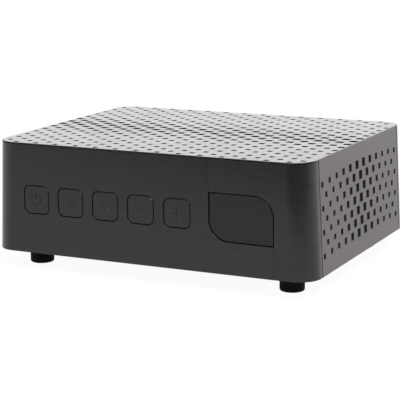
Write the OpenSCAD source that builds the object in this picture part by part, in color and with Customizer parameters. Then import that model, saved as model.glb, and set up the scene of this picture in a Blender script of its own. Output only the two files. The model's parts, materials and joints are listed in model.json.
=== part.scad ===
// Small satellite television receiver: a perforated cover with leaning sides, a wrapped front
// with five flush keys and a leaf-shaped display window, a rear panel with its sockets, and
// the boards inside. Millimetres, +Z up, front towards -Y, origin on the floor at the middle.

/* [Case] */
// Width of the case across its top edge
case_w = 150.2; // [146:0.2:170]
// Depth of the case from front face to rear face
case_d = 118.5; // [116:0.5:130]
// Height of the case without its feet
case_h = 49.5; // [47:0.5:60]
// Lean of the two sides, which makes the case wider at the bottom, in degrees
side_draft = 2.7; // [0:0.1:3]
// Radius of the two upright front corners
front_corner_r = 10; // [6:0.5:10]
// Radius of the two upright rear corners
corner_r = 8; // [5:0.5:9]
// Thickness of the perforated cover
cover_t = 1.6; // [1.2:0.1:2]
// Thickness of the cover's edge where it covers the two mouldings
cover_edge_t = 0.4; // [0.3:0.1:0.8]
// Depth of the front moulding along the sides
front_wrap = 12; // [10:0.1:13]
// Depth of the rear moulding along the sides
rear_wrap = 8.4; // [7:0.1:9]
// Width of the shadow line between the cover and the two mouldings
seam_gap = 0.3; // [0.1:0.05:0.5]
// Wall of the front moulding
front_t = 2.2; // [1.8:0.1:2.6]
// Wall of the rear moulding
rear_t = 2; // [1.6:0.1:2.6]

/* [Perforation] */
// Half of the hole spacing across the top and down the sides
pitch_across = 5.03; // [4.8:0.01:5.4]
// Half of the hole spacing from front to rear, on the top
top_pitch_along = 4.08; // [4:0.01:4.4]
// Half of the hole spacing from front to rear, on the two sides
side_pitch_along = 4.13; // [4:0.01:4.4]
// Rows of holes on the top, on each side of the middle row
top_rows = 14; // [10:1:14]
// Columns of holes on each side of the case, on each side of the middle one
side_columns = 11; // [7:1:11]
// Side of the largest holes, midway along the case
hole_large = 3.9; // [3:0.1:4.2]
// Side of the smallest holes, at the front and rear
hole_small = 2.3; // [1.2:0.1:2.6]
// How much larger the holes of the two sides are
side_hole_extra = 0.1; // [0:0.1:0.5]
// Loss of hole size from one row to the next
hole_step = 0.22; // [0.15:0.01:0.4]
// Sideways drift of the pattern at its front and rear ends
pattern_bow = 2.8; // [0:0.1:3]
// Slant of the rows on the top, over half of the depth
pattern_slant = 0.6; // [0:0.1:1]
// Distance of the side patterns behind the middle of the case
side_shift = 1.3; // [0:0.1:2]
// Least rim left between a hole and the edge of the top
hole_margin = 0.4; // [0.1:0.1:0.8]

/* [Feet] */
// Height of the rubber feet
foot_h = 8; // [6:0.5:10]
// Diameter of the rubber feet
foot_d = 10.8; // [10:0.1:13]
// Distance of the feet from the sides of the case
foot_edge = 13.2; // [12:0.1:15]
// Distance of the feet from the front and rear faces
foot_inset = 16.3; // [15:0.1:18]
// Rounding of the feet at the floor
foot_round = 0.8; // [0.2:0.1:1.5]

/* [Keys] */
// Width and height of the key openings
key_hole = 12.9; // [12:0.1:13.6]
// Gap between a key and its opening
key_gap = 0.35; // [0.2:0.05:0.5]
// Corner radius of the key openings
key_corner = 3; // [2:0.1:4]
// Spacing of the keys
key_pitch = 17.39; // [17.2:0.01:17.8]
// Distance of the first key from the left edge of the case
key_edge = 21.5; // [20.5:0.1:23]
// Depth of the keys and the window below the top of the case
key_drop = 25.2; // [24:0.1:26]
// Rim that holds a key behind its opening
key_rim = 1.2; // [0.8:0.1:1.6]
// Travel of a key
key_travel = 0.4; // [0.2:0.05:0.5]
// Depth of the marks cut into the keys
mark_depth = 0.25; // [0.15:0.05:0.4]
// Line width of the marks
mark_line = 0.6; // [0.4:0.05:0.7]
// Width of the marks
mark_size = 5.4; // [4:0.1:6]

/* [Window] */
// Width of the display window
window_w = 29.8; // [27:0.1:30.4]
// Height of the display window
window_h = 21; // [19:0.1:21.6]
// Radius of its two round corners
window_r = 9.3; // [7:0.1:9.5]
// Distance of the window from the right edge of the case
window_edge = 14.6; // [13.5:0.1:16]
// Gap between the window and its opening
window_gap = 0.45; // [0.2:0.05:0.6]
// Depth of the window's face behind the front
window_recess = 0.2; // [0.2:0.05:0.8]
// Width of the two fine lines that run on from the window
line_w = 0.3; // [0.2:0.05:0.5]
// Depth of those lines
line_depth = 0.1; // [0.1:0.05:0.4]

/* [Base] */
// Thickness of the base
base_t = 2; // [1.6:0.1:2.4]
// Height of the base's rim
rim_h = 4; // [3:0.1:4.5]
// Thickness of the base's rim
rim_t = 1.6; // [1.2:0.1:2]
// Distance of the case screws from the front and rear faces
case_screw_inset = 30; // [28:0.5:34]
// Distance of the case screws from the sides
case_screw_edge = 7.5; // [7.2:0.1:8.5]
// Width of a cooling slot
slot_w = 2.6; // [2:0.1:3]
// Length of a cooling slot
slot_l = 24; // [16:1:26]
// Spacing of the cooling slots
slot_pitch = 6; // [5:0.5:7]

/* [Boards] */
// Gap under the main board
board_gap = 6; // [5.6:0.1:7]
// Thickness of the main board
board_t = 1.6; // [1.2:0.1:2]
// Width of the main board
board_w = 118; // [117.6:0.2:119]
// Distance of the main board from the front face
board_front = 15; // [14.8:0.1:16]
// Distance from the front face to the key board
key_board_y = 11; // [11:0.1:11.6]
// Thickness of the key board
key_board_t = 1.2; // [1:0.1:1.6]

/* [Sockets] */
// Reach of the aerial connectors beyond the rear face
aerial_reach = 10; // [9:0.5:12]
// Diameter of the aerial connectors' threads, 3/8 inch
aerial_d = 9.52; // [9.3:0.01:9.7]
// Spacing of the two aerial connectors
aerial_pitch = 17; // [16.8:0.1:18]
// Diameter of the power inlet's opening
power_bore = 5.7; // [5.5:0.1:6]
// Diameter of the power inlet's pin
power_pin = 2.1; // [2:0.1:2.5]
// Diameter of the small audio and video socket
av_bore = 3.6; // [3.5:0.05:3.7]
// Outer diameter of the digital audio socket
phono_d = 8.3; // [8.2:0.05:8.4]
// Width of the space in the network socket
network_w = 11.9; // [11.7:0.1:12.2]
// Height of the space in the network socket
network_h = 7.2; // [6.8:0.1:7.6]

/* [Hidden] */
$fn = 48;

// Colours, as the photograph shows them
satin_black = [0.19, 0.19, 0.20];
cover_grey = [0.30, 0.29, 0.29];
smoked = [0.10, 0.09, 0.09];
rubber_black = [0.06, 0.06, 0.06];
board_green = [0.05, 0.25, 0.13];
chip_black = [0.09, 0.09, 0.10];
tin = [0.72, 0.72, 0.70];
nickel = [0.78, 0.77, 0.74];
cream = [0.86, 0.84, 0.76];

// Clearances
seat_gap = 0.1;      // round a piece that slips into its seat
panel_gap = 0.25;    // round a connector in its cut-out, and round the base
run_gap = 0.05;      // round a switch plunger in its switch
eps = 0.01;          // a cutter's reach past the face that it opens
deep = 40;           // length of a cutter that leaves the part at its far end

// Levels and faces
front_y = -(case_d + aerial_reach) / 2;
rear_y = front_y + case_d;
bottom_z = foot_h;
top_z = foot_h + case_h;
ceiling_z = top_z - cover_t;
mid_z = foot_h + case_h / 2;
far = case_w + 60;
function half_width(z) = case_w / 2 + (top_z - z) * tan(side_draft);

// ---------------------------------------------------------------- shared shapes

// Rectangle centred on the origin with round corners
module round_rect(w, h, r) {
    polygon([[-w / 2 + r, -h / 2], [w / 2 - r, -h / 2], [w / 2, -h / 2 + r], [w / 2, h / 2 - r],
             [w / 2 - r, h / 2], [-w / 2 + r, h / 2], [-w / 2, h / 2 - r], [-w / 2, -h / 2 + r]]);
    for (sx = [-1, 1], sy = [-1, 1])
        translate([sx * (w / 2 - r), sy * (h / 2 - r)]) circle(r);
}

// Leaf: a rectangle whose upper right and lower left corners are round
module leaf(w, h, r) {
    polygon([[-w / 2, h / 2], [w / 2 - r, h / 2], [w / 2, h / 2 - r],
             [w / 2, -h / 2], [-w / 2 + r, -h / 2], [-w / 2, -h / 2 + r]]);
    for (s = [-1, 1]) translate([s * (w / 2 - r), s * (h / 2 - r)]) circle(r);
}

// Slot with round ends along Y
module slot(w, l) {
    square([w, l - w], center = true);
    for (s = [-1, 1]) translate([0, s * (l - w) / 2]) circle(w / 2);
}

// Stands a drawing upright: its X stays X, its Y becomes Z, and it grows towards +Y from y
module upright(y, depth) {
    translate([0, y + depth, 0]) rotate([90, 0, 0]) linear_extrude(depth) children();
}

// Round bar or bore along Y from y
module bar_y(x, y, z, r, l) {
    translate([x, y, z]) rotate([-90, 0, 0]) cylinder(r = r, h = l);
}

// Block from its middle in X, its lowest Y and its lowest Z
module block(x, y, z, w, d, h) {
    translate([x - w / 2, y, z]) cube([w, d, h]);
}

// Half of the case's form: its right side leans, and its right corners are round
module leaning_half(inset) {
    rf = max(front_corner_r - inset, 0.5);
    rr = max(corner_r - inset, 0.5);
    y0 = front_y + inset;
    l = case_d - 2 * inset;
    translate([case_w / 2, 0, top_z]) rotate([0, -side_draft, 0])
        translate([-inset, y0, -case_h - 20]) linear_extrude(case_h + 40) {
            translate([-far, 0]) square([far - rf, l - rr]);
            translate([-far, rf]) square([far - rr, l - rf]);
            translate([-far, rf]) square([far, l - rf - rr]);
            translate([-rf, rf]) circle(rf);
            translate([-rr, l - rr]) circle(rr);
        }
}

// The case's form between two levels, drawn in by an even inset
module case_form(inset, z0, z1) {
    intersection() {
        leaning_half(inset);
        mirror([1, 0, 0]) leaning_half(inset);
        translate([-far, -far, z0]) cube([2 * far, 2 * far, z1 - z0]);
    }
}

// Everything between two depths behind the front face
module depth_band(y0, y1) {
    translate([-far, y0, -far]) cube([2 * far, y1 - y0, 3 * far]);
}

// Shallow lip that enters the open end of the cover
module cover_lip(y0, y1) {
    lip_t = 1.2;
    z0 = bottom_z + rim_h + panel_gap;
    z1 = ceiling_z - seat_gap;
    intersection() {
        difference() {
            case_form(cover_t + seat_gap, z0, z1);
            case_form(cover_t + seat_gap + lip_t, z0 - 1, z1 + 1);
        }
        depth_band(y0, y1);
        // only along the two sides
        difference() {
            translate([-far, -far, 0]) cube([2 * far, 2 * far, far]);
            translate([-case_w / 2 + corner_r, -far, -1]) cube([case_w - 2 * corner_r, 2 * far, far + 2]);
        }
    }
}

// ---------------------------------------------------------------- perforation

field_y = front_y + case_d / 2;
side_field_y = field_y + side_shift;
top_columns = ceil(case_w / 2 / pitch_across) + 1;
side_rows = 3;
function hole_size(j) = max(hole_small, hole_large - hole_step * abs(j));
function bow(j) = pattern_bow * pow(abs(j) / top_rows, 3);

// A hole is kept where most of it lies inside the rim, and near a round corner all of it
function inside_top(x, y, s) =
    let (most = s / 4 + hole_margin, all = s / 2 + hole_margin, r = y < 0 ? front_corner_r : corner_r,
         cx = abs(x) + all - (case_w / 2 - r), cy = abs(y) + all - (case_d / 2 - r))
    abs(x) + most < case_w / 2 && abs(y) + most < case_d / 2 && (cx < 0 || cy < 0 || norm([cx, cy]) < r);

module top_holes() {
    translate([0, field_y, ceiling_z - 1]) linear_extrude(cover_t + 2)
        for (j = [-top_rows:top_rows], i = [-top_columns:top_columns])
            if ((i + j) % 2 == 0) {
                x = (i + 0.5) * pitch_across + bow(j) - pattern_slant * j / top_rows;
                y = j * top_pitch_along;
                s = hole_size(j);
                x0 = max(x - s / 2, hole_margin - case_w / 2);
                x1 = min(x + s / 2, case_w / 2 - hole_margin);
                if (inside_top(x, y, s)) translate([x0, y - s / 2]) square([x1 - x0, s]);
            }
}

// The pattern runs over the edge, so it drifts down on the right side and up on the left
module side_holes(side) {
    start = case_w / 2 - cover_t - 2;
    translate([side > 0 ? start : -start - 20, side_field_y, mid_z]) rotate([90, 0, 90])
        linear_extrude(20)
            for (k = [-side_columns:side_columns], r = [-side_rows:side_rows])
                if ((k + r) % 2 == 0)
                    translate([k * side_pitch_along, r * pitch_across - side * bow(k)])
                        square(hole_size(k) + side_hole_extra, center = true);
}

// ---------------------------------------------------------------- case

post_r = 3.2;
screw_clear = 1.7;
pilot_r = 1.25;
shank_r = pilot_r - run_gap;
screw_cup_h = 5;
screw_cup_r = 4.6;
screw_head_r = 2.8;
screw_head_h = 1.9;
screw_head_room = 0.4;
screw_bite = 4.5;    // thread held in a boss or post
screw_recess_w = 0.6;
case_screw_l = screw_cup_h / 2 + 2 * screw_bite;
case_screw_x = half_width(bottom_z) - case_screw_edge - cover_t;
rear_screw_x = case_w / 2 - corner_r - screw_head_r - seat_gap;
rear_screw_z = ceiling_z - 5;
lug = [8, 7, 9];

module case_screw_places() {
    for (sx = [-1, 1], y = [front_y + case_screw_inset, rear_y - case_screw_inset])
        translate([sx * case_screw_x, y, 0]) children();
}

// Rebate under the cover's edge for the wall of a moulding, between two depths
module edge_rebate(t, y0, y1) {
    intersection() {
        difference() {
            translate([-far, -far, ceiling_z - 1]) cube([2 * far, 2 * far, cover_t - cover_edge_t + 1]);
            case_form(t + seat_gap, ceiling_z - 2, top_z + 1);
        }
        depth_band(y0, y1);
    }
}

module top_cover() {
    post_z = bottom_z + screw_cup_h;
    color(cover_grey) difference() {
        union() {
            difference() {
                case_form(0, bottom_z, top_z);
                case_form(cover_t, bottom_z - 1, ceiling_z);
                translate([0, 0, -eps]) intersection() {
                    translate([-far, -far, -1]) cube([2 * far, 2 * far, ceiling_z + 1 + eps]);
                    union() {
                        depth_band(front_y - 1, front_y + front_wrap + seam_gap);
                        depth_band(rear_y - rear_wrap - seam_gap, rear_y + 1);
                    }
                }
                edge_rebate(front_t, front_y - 1, front_y + front_wrap + seam_gap);
                edge_rebate(rear_t, rear_y - rear_wrap - seam_gap, rear_y + 1);
                top_holes();
                side_holes(1);
                side_holes(-1);
            }
            // posts for the case screws, and lugs for the rear screws
            case_screw_places() translate([0, 0, post_z])
                cylinder(r = post_r, h = ceiling_z - post_z + eps);
            for (sx = [-1, 1])
                block(sx * rear_screw_x, rear_y - rear_t - lug[1], ceiling_z - lug[2] + eps,
                      lug[0], lug[1], lug[2]);
        }
        case_screw_places() translate([0, 0, post_z - 1]) cylinder(r = pilot_r, h = case_screw_l + 1);
        for (sx = [-1, 1])
            bar_y(sx * rear_screw_x, rear_y - rear_t - lug[1] + 1, rear_screw_z, pilot_r, lug[1]);
    }
}

// A wall that wraps two corners of the case, between two depths
module wrapped_wall(t, y0, y1) {
    intersection() {
        difference() {
            case_form(0, bottom_z, top_z - cover_edge_t - seam_gap);
            case_form(t, bottom_z - 1, top_z);
        }
        depth_band(y0, y1);
    }
}

key_z = top_z - key_drop;
window_x = case_w / 2 - window_edge - window_w / 2;
boss_r = 2.8;
key_board_margin = 3.5;
key_board_x0 = -case_w / 2 + 10;
key_board_x1 = case_w / 2 - 5;
key_board_half_h = 15.5;
function key_x(i) = -case_w / 2 + key_edge + i * key_pitch;

module key_board_screw_places() {
    for (x = [key_board_x0 + key_board_margin, key_board_x1 - key_board_margin],
         z = [key_z - key_board_half_h + key_board_margin, key_z + key_board_half_h - key_board_margin])
        translate([x, 0, z]) children();
}

module front_fascia() {
    y_board = front_y + key_board_y;
    color(satin_black) difference() {
        union() {
            wrapped_wall(front_t, front_y - 1, front_y + front_wrap);
            cover_lip(front_y + front_wrap - 2, front_y + front_wrap + seam_gap + 1.5);
            key_board_screw_places()
                bar_y(0, front_y + front_t - eps, 0, boss_r, key_board_y - front_t + eps);
        }
        key_board_screw_places() bar_y(0, y_board - 6, 0, pilot_r, 7);
        for (i = [0:4]) translate([key_x(i), 0, key_z])
            upright(front_y - 1, front_t + 2) round_rect(key_hole, key_hole, key_corner);
        translate([window_x, 0, key_z]) upright(front_y - 1, front_t + 2)
            leaf(window_w, window_h, window_r);
        // fine lines: up from the window's left edge, down from its right edge
        translate([window_x - window_w / 2, front_y - 1, key_z + window_h / 2])
            cube([line_w, line_depth + 1, case_h]);
        translate([window_x + window_w / 2 - line_w, front_y - 1, key_z - window_h / 2 - case_h])
            cube([line_w, line_depth + 1, case_h]);
    }
}

window_flange_t = 1;
module display_window() {
    flange = 1.6;
    color(smoked) translate([window_x, 0, key_z]) {
        upright(front_y + window_recess, front_t - window_recess)
            leaf(window_w - 2 * window_gap, window_h - 2 * window_gap, window_r - window_gap);
        upright(front_y + front_t, window_flange_t)
            leaf(window_w + 2 * flange, window_h + 2 * flange, window_r + flange);
    }
}

// ---------------------------------------------------------------- rear sockets, places

board_z = bottom_z + base_t + board_gap;
board_top = board_z + board_t;
inner_y = rear_y - rear_t;
can_w = 2 * aerial_pitch;
can_d = 30;
can_h = 13;
aerial_z = board_top + 7;
board_margin = 0.5;
// The tuner stands at the board's right end, and the sockets follow it towards the left
tuner_x = board_w / 2 - board_margin - can_w / 2;
socket_space = 2;
network = [16, 16, 13.4];
hdmi = [14.9, 11, 5.4];
usb = [13.2, 13.5, 5.8];
phono = [10, 9, 12.4];
av = [6.6, 12, 6.4];
power = [9, 14, 11];
network_x = tuner_x - can_w / 2 - socket_space - network[0] / 2;
hdmi_x = network_x - network[0] / 2 - socket_space - hdmi[0] / 2;
usb_x = hdmi_x - hdmi[0] / 2 - socket_space - usb[0] / 2;
phono_x = usb_x - usb[0] / 2 - socket_space - phono[0] / 2;
av_x = phono_x - phono[0] / 2 - socket_space - av[0] / 2;
power_x = av_x - av[0] / 2 - socket_space - power[0] / 2;
phono_z = board_top + 6.8;
av_z = board_top + av[2] / 2;
power_z = board_top + 6.2;
snout_wall = 1.1;
av_snout = av_bore / 2 + snout_wall;
power_snout = power_bore / 2 + snout_wall;
phono_collar_r = phono_d / 2 + 0.5;
sheet = 0.4;        // metal of the socket shells

// Card reader under the main board
card_w = 54;
card_slot_h = 1.8;
reader = [card_w + 6, 46, board_gap - 2.9];
reader_x = hdmi_x - 4;
card_z = board_z - reader[2] / 2;

// Places of the two aerial connectors
module aerial_places() {
    for (s = [-1, 1]) translate([tuner_x + s * aerial_pitch / 2, 0, aerial_z]) children();
}

module rear_panel() {
    y = inner_y - 1;
    l = rear_t + 2;
    color(satin_black) difference() {
        union() {
            wrapped_wall(rear_t, rear_y - rear_wrap, rear_y + 1);
            cover_lip(rear_y - rear_wrap - seam_gap - 1.5, rear_y - rear_wrap + 2);
        }
        aerial_places() bar_y(0, y, 0, aerial_d / 2 + panel_gap, l);
        bar_y(power_x, y, power_z, power_snout + panel_gap, l);
        bar_y(av_x, y, av_z, av_snout + panel_gap, l);
        bar_y(phono_x, y, phono_z, phono_collar_r + panel_gap, l);
        block(network_x, y, board_top - eps, network[0] + 2 * panel_gap, l, network[2] + panel_gap);
        block(hdmi_x, y, board_top - eps, hdmi[0] + 2 * panel_gap, l, hdmi[2] + panel_gap);
        block(usb_x, y, board_top - eps, usb[0] + 2 * panel_gap, l, usb[2] + panel_gap);
        block(reader_x, y, card_z - card_slot_h / 2, card_w + 1, l, card_slot_h);
        for (sx = [-1, 1]) bar_y(sx * rear_screw_x, y, rear_screw_z, screw_clear, l);
        // cooling slots above the sockets
        for (i = [-8:8]) translate([i * slot_pitch, 0, board_top + can_h + 9])
            upright(y, l) slot(slot_w, 10);
        // room for the lugs of the cover
        for (sx = [-1, 1])
            block(sx * rear_screw_x, inner_y - lug[1] - 1, ceiling_z - lug[2] - seat_gap,
                  lug[0] + 2 * seat_gap, lug[1] + 1, lug[2] + 1);
    }
}

// ---------------------------------------------------------------- base

base_inset = max(front_t, rear_t) + panel_gap;
base_top = bottom_z + base_t;
foot_neck_r = 2.4;
foot_head_r = 3.1;
foot_head_t = 1.2;
standoff_r = 3;
board_screw_x = board_w / 2 - 5;
board_screw_front_y = front_y + board_front + 5;
board_screw_rear_y = inner_y - can_d - 6;

function foot_x() = case_w / 2 - foot_edge;

module foot_places() {
    for (sx = [-1, 1], y = [front_y + foot_inset, rear_y - foot_inset])
        translate([sx * foot_x(), y, 0]) children();
}

module board_screw_places() {
    for (sx = [-1, 1], y = [board_screw_front_y, board_screw_rear_y])
        translate([sx * board_screw_x, y, 0]) children();
}

module base_tray() {
    color(satin_black) difference() {
        union() {
            case_form(base_inset, bottom_z, base_top);
            difference() {
                case_form(base_inset, bottom_z, bottom_z + rim_h);
                case_form(base_inset + rim_t, bottom_z - 1, bottom_z + rim_h + 1);
            }
            case_screw_places() translate([0, 0, bottom_z]) cylinder(r = screw_cup_r, h = screw_cup_h);
            board_screw_places() translate([0, 0, bottom_z])
                cylinder(r = standoff_r, h = board_z - bottom_z);
        }
        foot_places() translate([0, 0, bottom_z - 1]) cylinder(r = foot_neck_r + run_gap, h = base_t + 2);
        case_screw_places() {
            translate([0, 0, bottom_z - 1])
                cylinder(r = screw_head_r + screw_head_room, h = 1 + screw_cup_h / 2);
            translate([0, 0, bottom_z - 1]) cylinder(r = screw_clear, h = screw_cup_h + 2);
        }
        board_screw_places() translate([0, 0, bottom_z + 0.8])
            cylinder(r = pilot_r, h = board_z - bottom_z);
        // cooling slots in two fields, and a shallow bare recess between them
        for (sy = [-1, 1], i = [-6:6])
            translate([i * slot_pitch, field_y + sy * (slot_l / 2 + 6), bottom_z - 1])
                linear_extrude(base_t + 2) slot(slot_w, slot_l);
    }
}

module foot() {
    r = foot_d / 2;
    color(rubber_black) rotate_extrude() {
        translate([0, foot_round]) square([r, foot_h - foot_round]);
        square([r - foot_round, foot_h - foot_round]);
        translate([r - foot_round, foot_round]) circle(foot_round);
        square([foot_neck_r, foot_h + base_t]);
        translate([0, foot_h + base_t]) square([foot_head_r, foot_head_t]);
    }
}

module foot_at(sx, y) {
    translate([sx * foot_x(), y, 0]) foot();
}

// ---------------------------------------------------------------- keys

key_cap = key_hole - 2 * key_gap;
key_flange_y = front_y + front_t + seat_gap;
key_flange_t = 1;
key_stem = 5;
switch_w = 6;
switch_h = 3.6;          // switch body's height off its board
switch_room = 0.3;       // depth left behind a plunger that is pressed home
plunger_reach = 2.4;     // plunger beyond the switch body
plunger_r = 1.7;
plunger_hold = 1.6;      // plunger inside the switch body
stem_end_y = front_y + key_board_y - switch_h - plunger_reach;

// Marks: 0 standby, 1 down, 2 up, 3 less, 4 more
module key_mark(kind) {
    w = mark_line;
    s = mark_size / 2;
    if (kind == 0) {
        difference() {
            circle(s);
            circle(s - w);
            polygon([[0, 0], [s, 1.6 * s], [-s, 1.6 * s]]);
        }
        translate([-w / 2, s * 0.15]) square([w, s]);
    }
    if (kind == 1 || kind == 2) mirror([0, kind == 1 ? 1 : 0, 0])
        polygon([[-s, -s / 2], [0, s / 2], [s, -s / 2], [s - w * 0.8, -s / 2 - w * 0.8],
                 [0, s / 2 - w * 1.6], [-s + w * 0.8, -s / 2 - w * 0.8]]);
    if (kind >= 3) square([2 * s * 0.9, w], center = true);
    if (kind == 4) square([w, 2 * s * 0.9], center = true);
}

module key(i) {
    outer = key_cap + 2 * key_rim;
    color(satin_black) translate([key_x(i), 0, key_z]) difference() {
        union() {
            upright(front_y, key_flange_y + key_flange_t - front_y)
                round_rect(key_cap, key_cap, key_corner - key_gap);
            upright(key_flange_y, key_flange_t)
                round_rect(outer, outer, key_corner - key_gap + key_rim);
            block(0, key_flange_y, -key_stem / 2, key_stem, stem_end_y - key_flange_y, key_stem);
        }
        upright(front_y - 1, mark_depth + 1) key_mark(i);
    }
}

module plunger(i) {
    color(chip_black)
        bar_y(key_x(i), stem_end_y, key_z, plunger_r, plunger_reach + plunger_hold);
}

module key_switches() {
    y = front_y + key_board_y - switch_h;
    color(tin) for (i = [0:4]) difference() {
        block(key_x(i), y, key_z - switch_w / 2, switch_w, switch_h, switch_w);
        bar_y(key_x(i), y - 1, key_z, plunger_r + run_gap,
              1 + plunger_hold + key_travel + switch_room);
    }
}

// ---------------------------------------------------------------- key board

kb_y = front_y + key_board_y;
display_gap = 0.6;       // between the window and the display behind it
display = [30, key_board_y - front_t - window_flange_t - display_gap, 14];
display_rise = 1;
digit_t = 0.3;
digit = [5, 9];
digit_line = 0.9;
digit_first = 3.9;
digit_pitch = 6.9;
colon_half = 1.8;
colon_r = 0.5;
receiver = [6, 5, 4.8];
receiver_place = [8, -8.9];
receiver_lens_r = 2;
receiver_lens_reach = 1.5;
lamp_r = 1.5;
lamp_l = 5;
lamp_place = [-4, -8.4];

module key_board() {
    color(board_green) difference() {
        translate([key_board_x0, kb_y, key_z - key_board_half_h])
            cube([key_board_x1 - key_board_x0, key_board_t, 2 * key_board_half_h]);
        key_board_screw_places() bar_y(0, kb_y - 1, 0, screw_clear, key_board_t + 2);
    }
}

module display_module() {
    color([0.85, 0.85, 0.83])
        block(window_x, kb_y - display[1] + digit_t, key_z - display[2] / 2 + display_rise,
              display[0], display[1] - digit_t, display[2]);
}

// Four figures of seven bars each, all lit alike, and the colon between them
module figure(w, h, t) {
    bar_t = 0.8 * t;
    for (z = [-1, 0, 1]) translate([0, z * (h - t) / 2]) square([w - 2 * t, bar_t], center = true);
    for (sx = [-1, 1], sz = [-1, 1])
        translate([sx * (w - t) / 2, sz * h / 4]) square([bar_t, h / 2 - t], center = true);
}

module display_digits() {
    color([0.75, 0.70, 0.66]) translate([window_x, 0, key_z + display_rise])
        upright(kb_y - display[1], digit_t) {
            for (s = [-1, 1], k = [0, 1]) translate([s * (digit_first + k * digit_pitch), 0])
                figure(digit[0], digit[1], digit_line);
            for (s = [-1, 1]) translate([0, s * colon_half]) circle(colon_r);
        }
}

module infrared_receiver() {
    color(chip_black) translate([window_x + receiver_place[0], kb_y, key_z + receiver_place[1]]) {
        block(0, -receiver[1], -receiver[2] / 2, receiver[0], receiver[1], receiver[2]);
        bar_y(0, -receiver[1] - receiver_lens_reach, 0, receiver_lens_r, receiver_lens_reach + eps);
    }
}

module status_lamp() {
    color([0.8, 0.15, 0.1]) translate([window_x + lamp_place[0], kb_y, key_z + lamp_place[1]]) {
        bar_y(0, -lamp_l, 0, lamp_r, lamp_l);
        translate([0, -lamp_l, 0]) sphere(lamp_r);
    }
}

// Flat cable from the key board down and back to the main board
ribbon_w = 16;
ribbon_t = 0.4;
ribbon_x = key_x(3);
ribbon_bend = 2;
ribbon_y = kb_y + key_board_t + 2.6;
ribbon_top_z = key_z - 2;
ribbon_z = board_top + 1.6;
ribbon_end_y = front_y + board_front + 10;
socket_block = [ribbon_w + 4, 3.6, 5];

module front_ribbon() {
    r = ribbon_bend;
    color(cream) translate([ribbon_x - ribbon_w / 2, 0, 0]) rotate([90, 0, 90])
        linear_extrude(ribbon_w) {
            translate([ribbon_y, ribbon_z + r]) square([ribbon_t, ribbon_top_z - ribbon_z - r]);
            translate([ribbon_y + r, ribbon_z]) square([ribbon_end_y - ribbon_y - r, ribbon_t]);
            intersection() {
                translate([ribbon_y + r, ribbon_z + r]) difference() {
                    circle(r);
                    circle(r - ribbon_t);
                }
                translate([ribbon_y, ribbon_z]) square(r);
            }
        }
}

module ribbon_sockets() {
    color(cream) {
        block(ribbon_x, kb_y + key_board_t, ribbon_top_z,
              socket_block[0], socket_block[1], socket_block[2]);
        block(ribbon_x, ribbon_end_y, board_top, socket_block[0], socket_block[2], socket_block[1]);
    }
}

// ---------------------------------------------------------------- main board

module main_board() {
    l = inner_y - panel_gap - front_y - board_front;
    color(board_green) difference() {
        block(0, front_y + board_front, board_z, board_w, l, board_t);
        board_screw_places() translate([0, 0, board_z - 1]) cylinder(r = screw_clear, h = board_t + 2);
    }
}

// Parts stand in the space between the board's front edge and the tuner. Their place is a
// distance from the board's left edge, and a share of that space's depth.
parts_depth = inner_y - seat_gap - can_d - front_y - board_front;
module on_board(x, share) {
    translate([-board_w / 2 + x, front_y + board_front + share * parts_depth, board_top]) children();
}

module on_processor() {
    on_board(62, 0.56) children();
}

// Flat chip or block, centred on its place
module chip(size, z = 0) {
    block(0, -size[1] / 2, z, size[0], size[1], size[2]);
}

processor = [19, 19, 1.4];
memory_chip = [13.4, 8, 1.1];
flash = [12, 8, 1.2];
regulator = [5, 5, 1];
inductor = [7, 7, 1];
inductor_r = 3.2;
inductor_h = 3;
crystal = [7, 4.4, 3.5];
pad_t = 0.8;
sink = [32, 32, 12];
sink_base = 2.5;
fins = 8;
fin_t = 1.2;

module main_processor() {
    color(chip_black) on_processor() chip(processor);
}

module thermal_pad() {
    color([0.6, 0.75, 0.85]) on_processor() chip([processor[0], processor[1], pad_t], processor[2]);
}

module heat_sink() {
    step = (sink[0] - fin_t) / (fins - 1);
    color([0.12, 0.12, 0.13]) on_processor()
        translate([0, 0, processor[2] + pad_t]) {
            chip([sink[0], sink[1], sink_base]);
            for (i = [0:fins - 1])
                block(-sink[0] / 2 + fin_t / 2 + i * step, -sink[1] / 2, sink_base - eps,
                      fin_t, sink[1], sink[2] - sink_base + eps);
        }
}

module memory_chips() {
    color(chip_black) for (share = [0.39, 0.64]) on_board(88, share) chip(memory_chip);
}

module flash_chip() {
    color(chip_black) on_board(88, 0.9) chip(flash);
}

module power_inductors() {
    color([0.25, 0.25, 0.26]) for (p = [[14, 0.56], [14, 0.73], [34, 0.25]]) on_board(p[0], p[1]) {
        chip(inductor);
        translate([0, 0, inductor[2] - eps]) cylinder(r = inductor_r, h = inductor_h + eps);
    }
}

// Upright capacitors in three sizes: diameter and height
capacitor_large = [8, 12];
capacitor_middle = [6.3, 11];
capacitor_small = [5, 11];
module smoothing_capacitors() {
    color([0.10, 0.12, 0.16])
        for (c = [[capacitor_large, 26, 0.56], [capacitor_large, 26, 0.7],
                  [capacitor_middle, 34, 0.42], [capacitor_middle, 14, 0.4],
                  [capacitor_small, 104, 0.76], [capacitor_small, 104, 0.56]])
            on_board(c[1], c[2]) cylinder(d = c[0][0], h = c[0][1]);
}

module clock_crystal() {
    color(nickel) on_board(62, 0.9) {
        chip(crystal);
        for (s = [-1, 1]) translate([s * crystal[0] / 2, 0, 0]) cylinder(d = crystal[1], h = crystal[2]);
    }
}

module lnb_regulator() {
    color(chip_black) on_board(104, 0.9) chip(regulator);
}

module board_screws() {
    color(nickel) board_screw_places() screw_up(board_top, board_t + screw_bite);
}

// Pan-head screw whose head rests at z and whose shank runs down
module screw_up(z, l) {
    difference() {
        union() {
            translate([0, 0, z]) cylinder(r = screw_head_r, h = screw_head_h);
            translate([0, 0, z - l]) cylinder(r = shank_r, h = l + eps);
        }
        for (a = [0, 90]) translate([0, 0, z + screw_head_h]) rotate([0, 0, a])
            cube([screw_head_r * 1.2, screw_recess_w, screw_head_h], center = true);
    }
}

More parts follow.
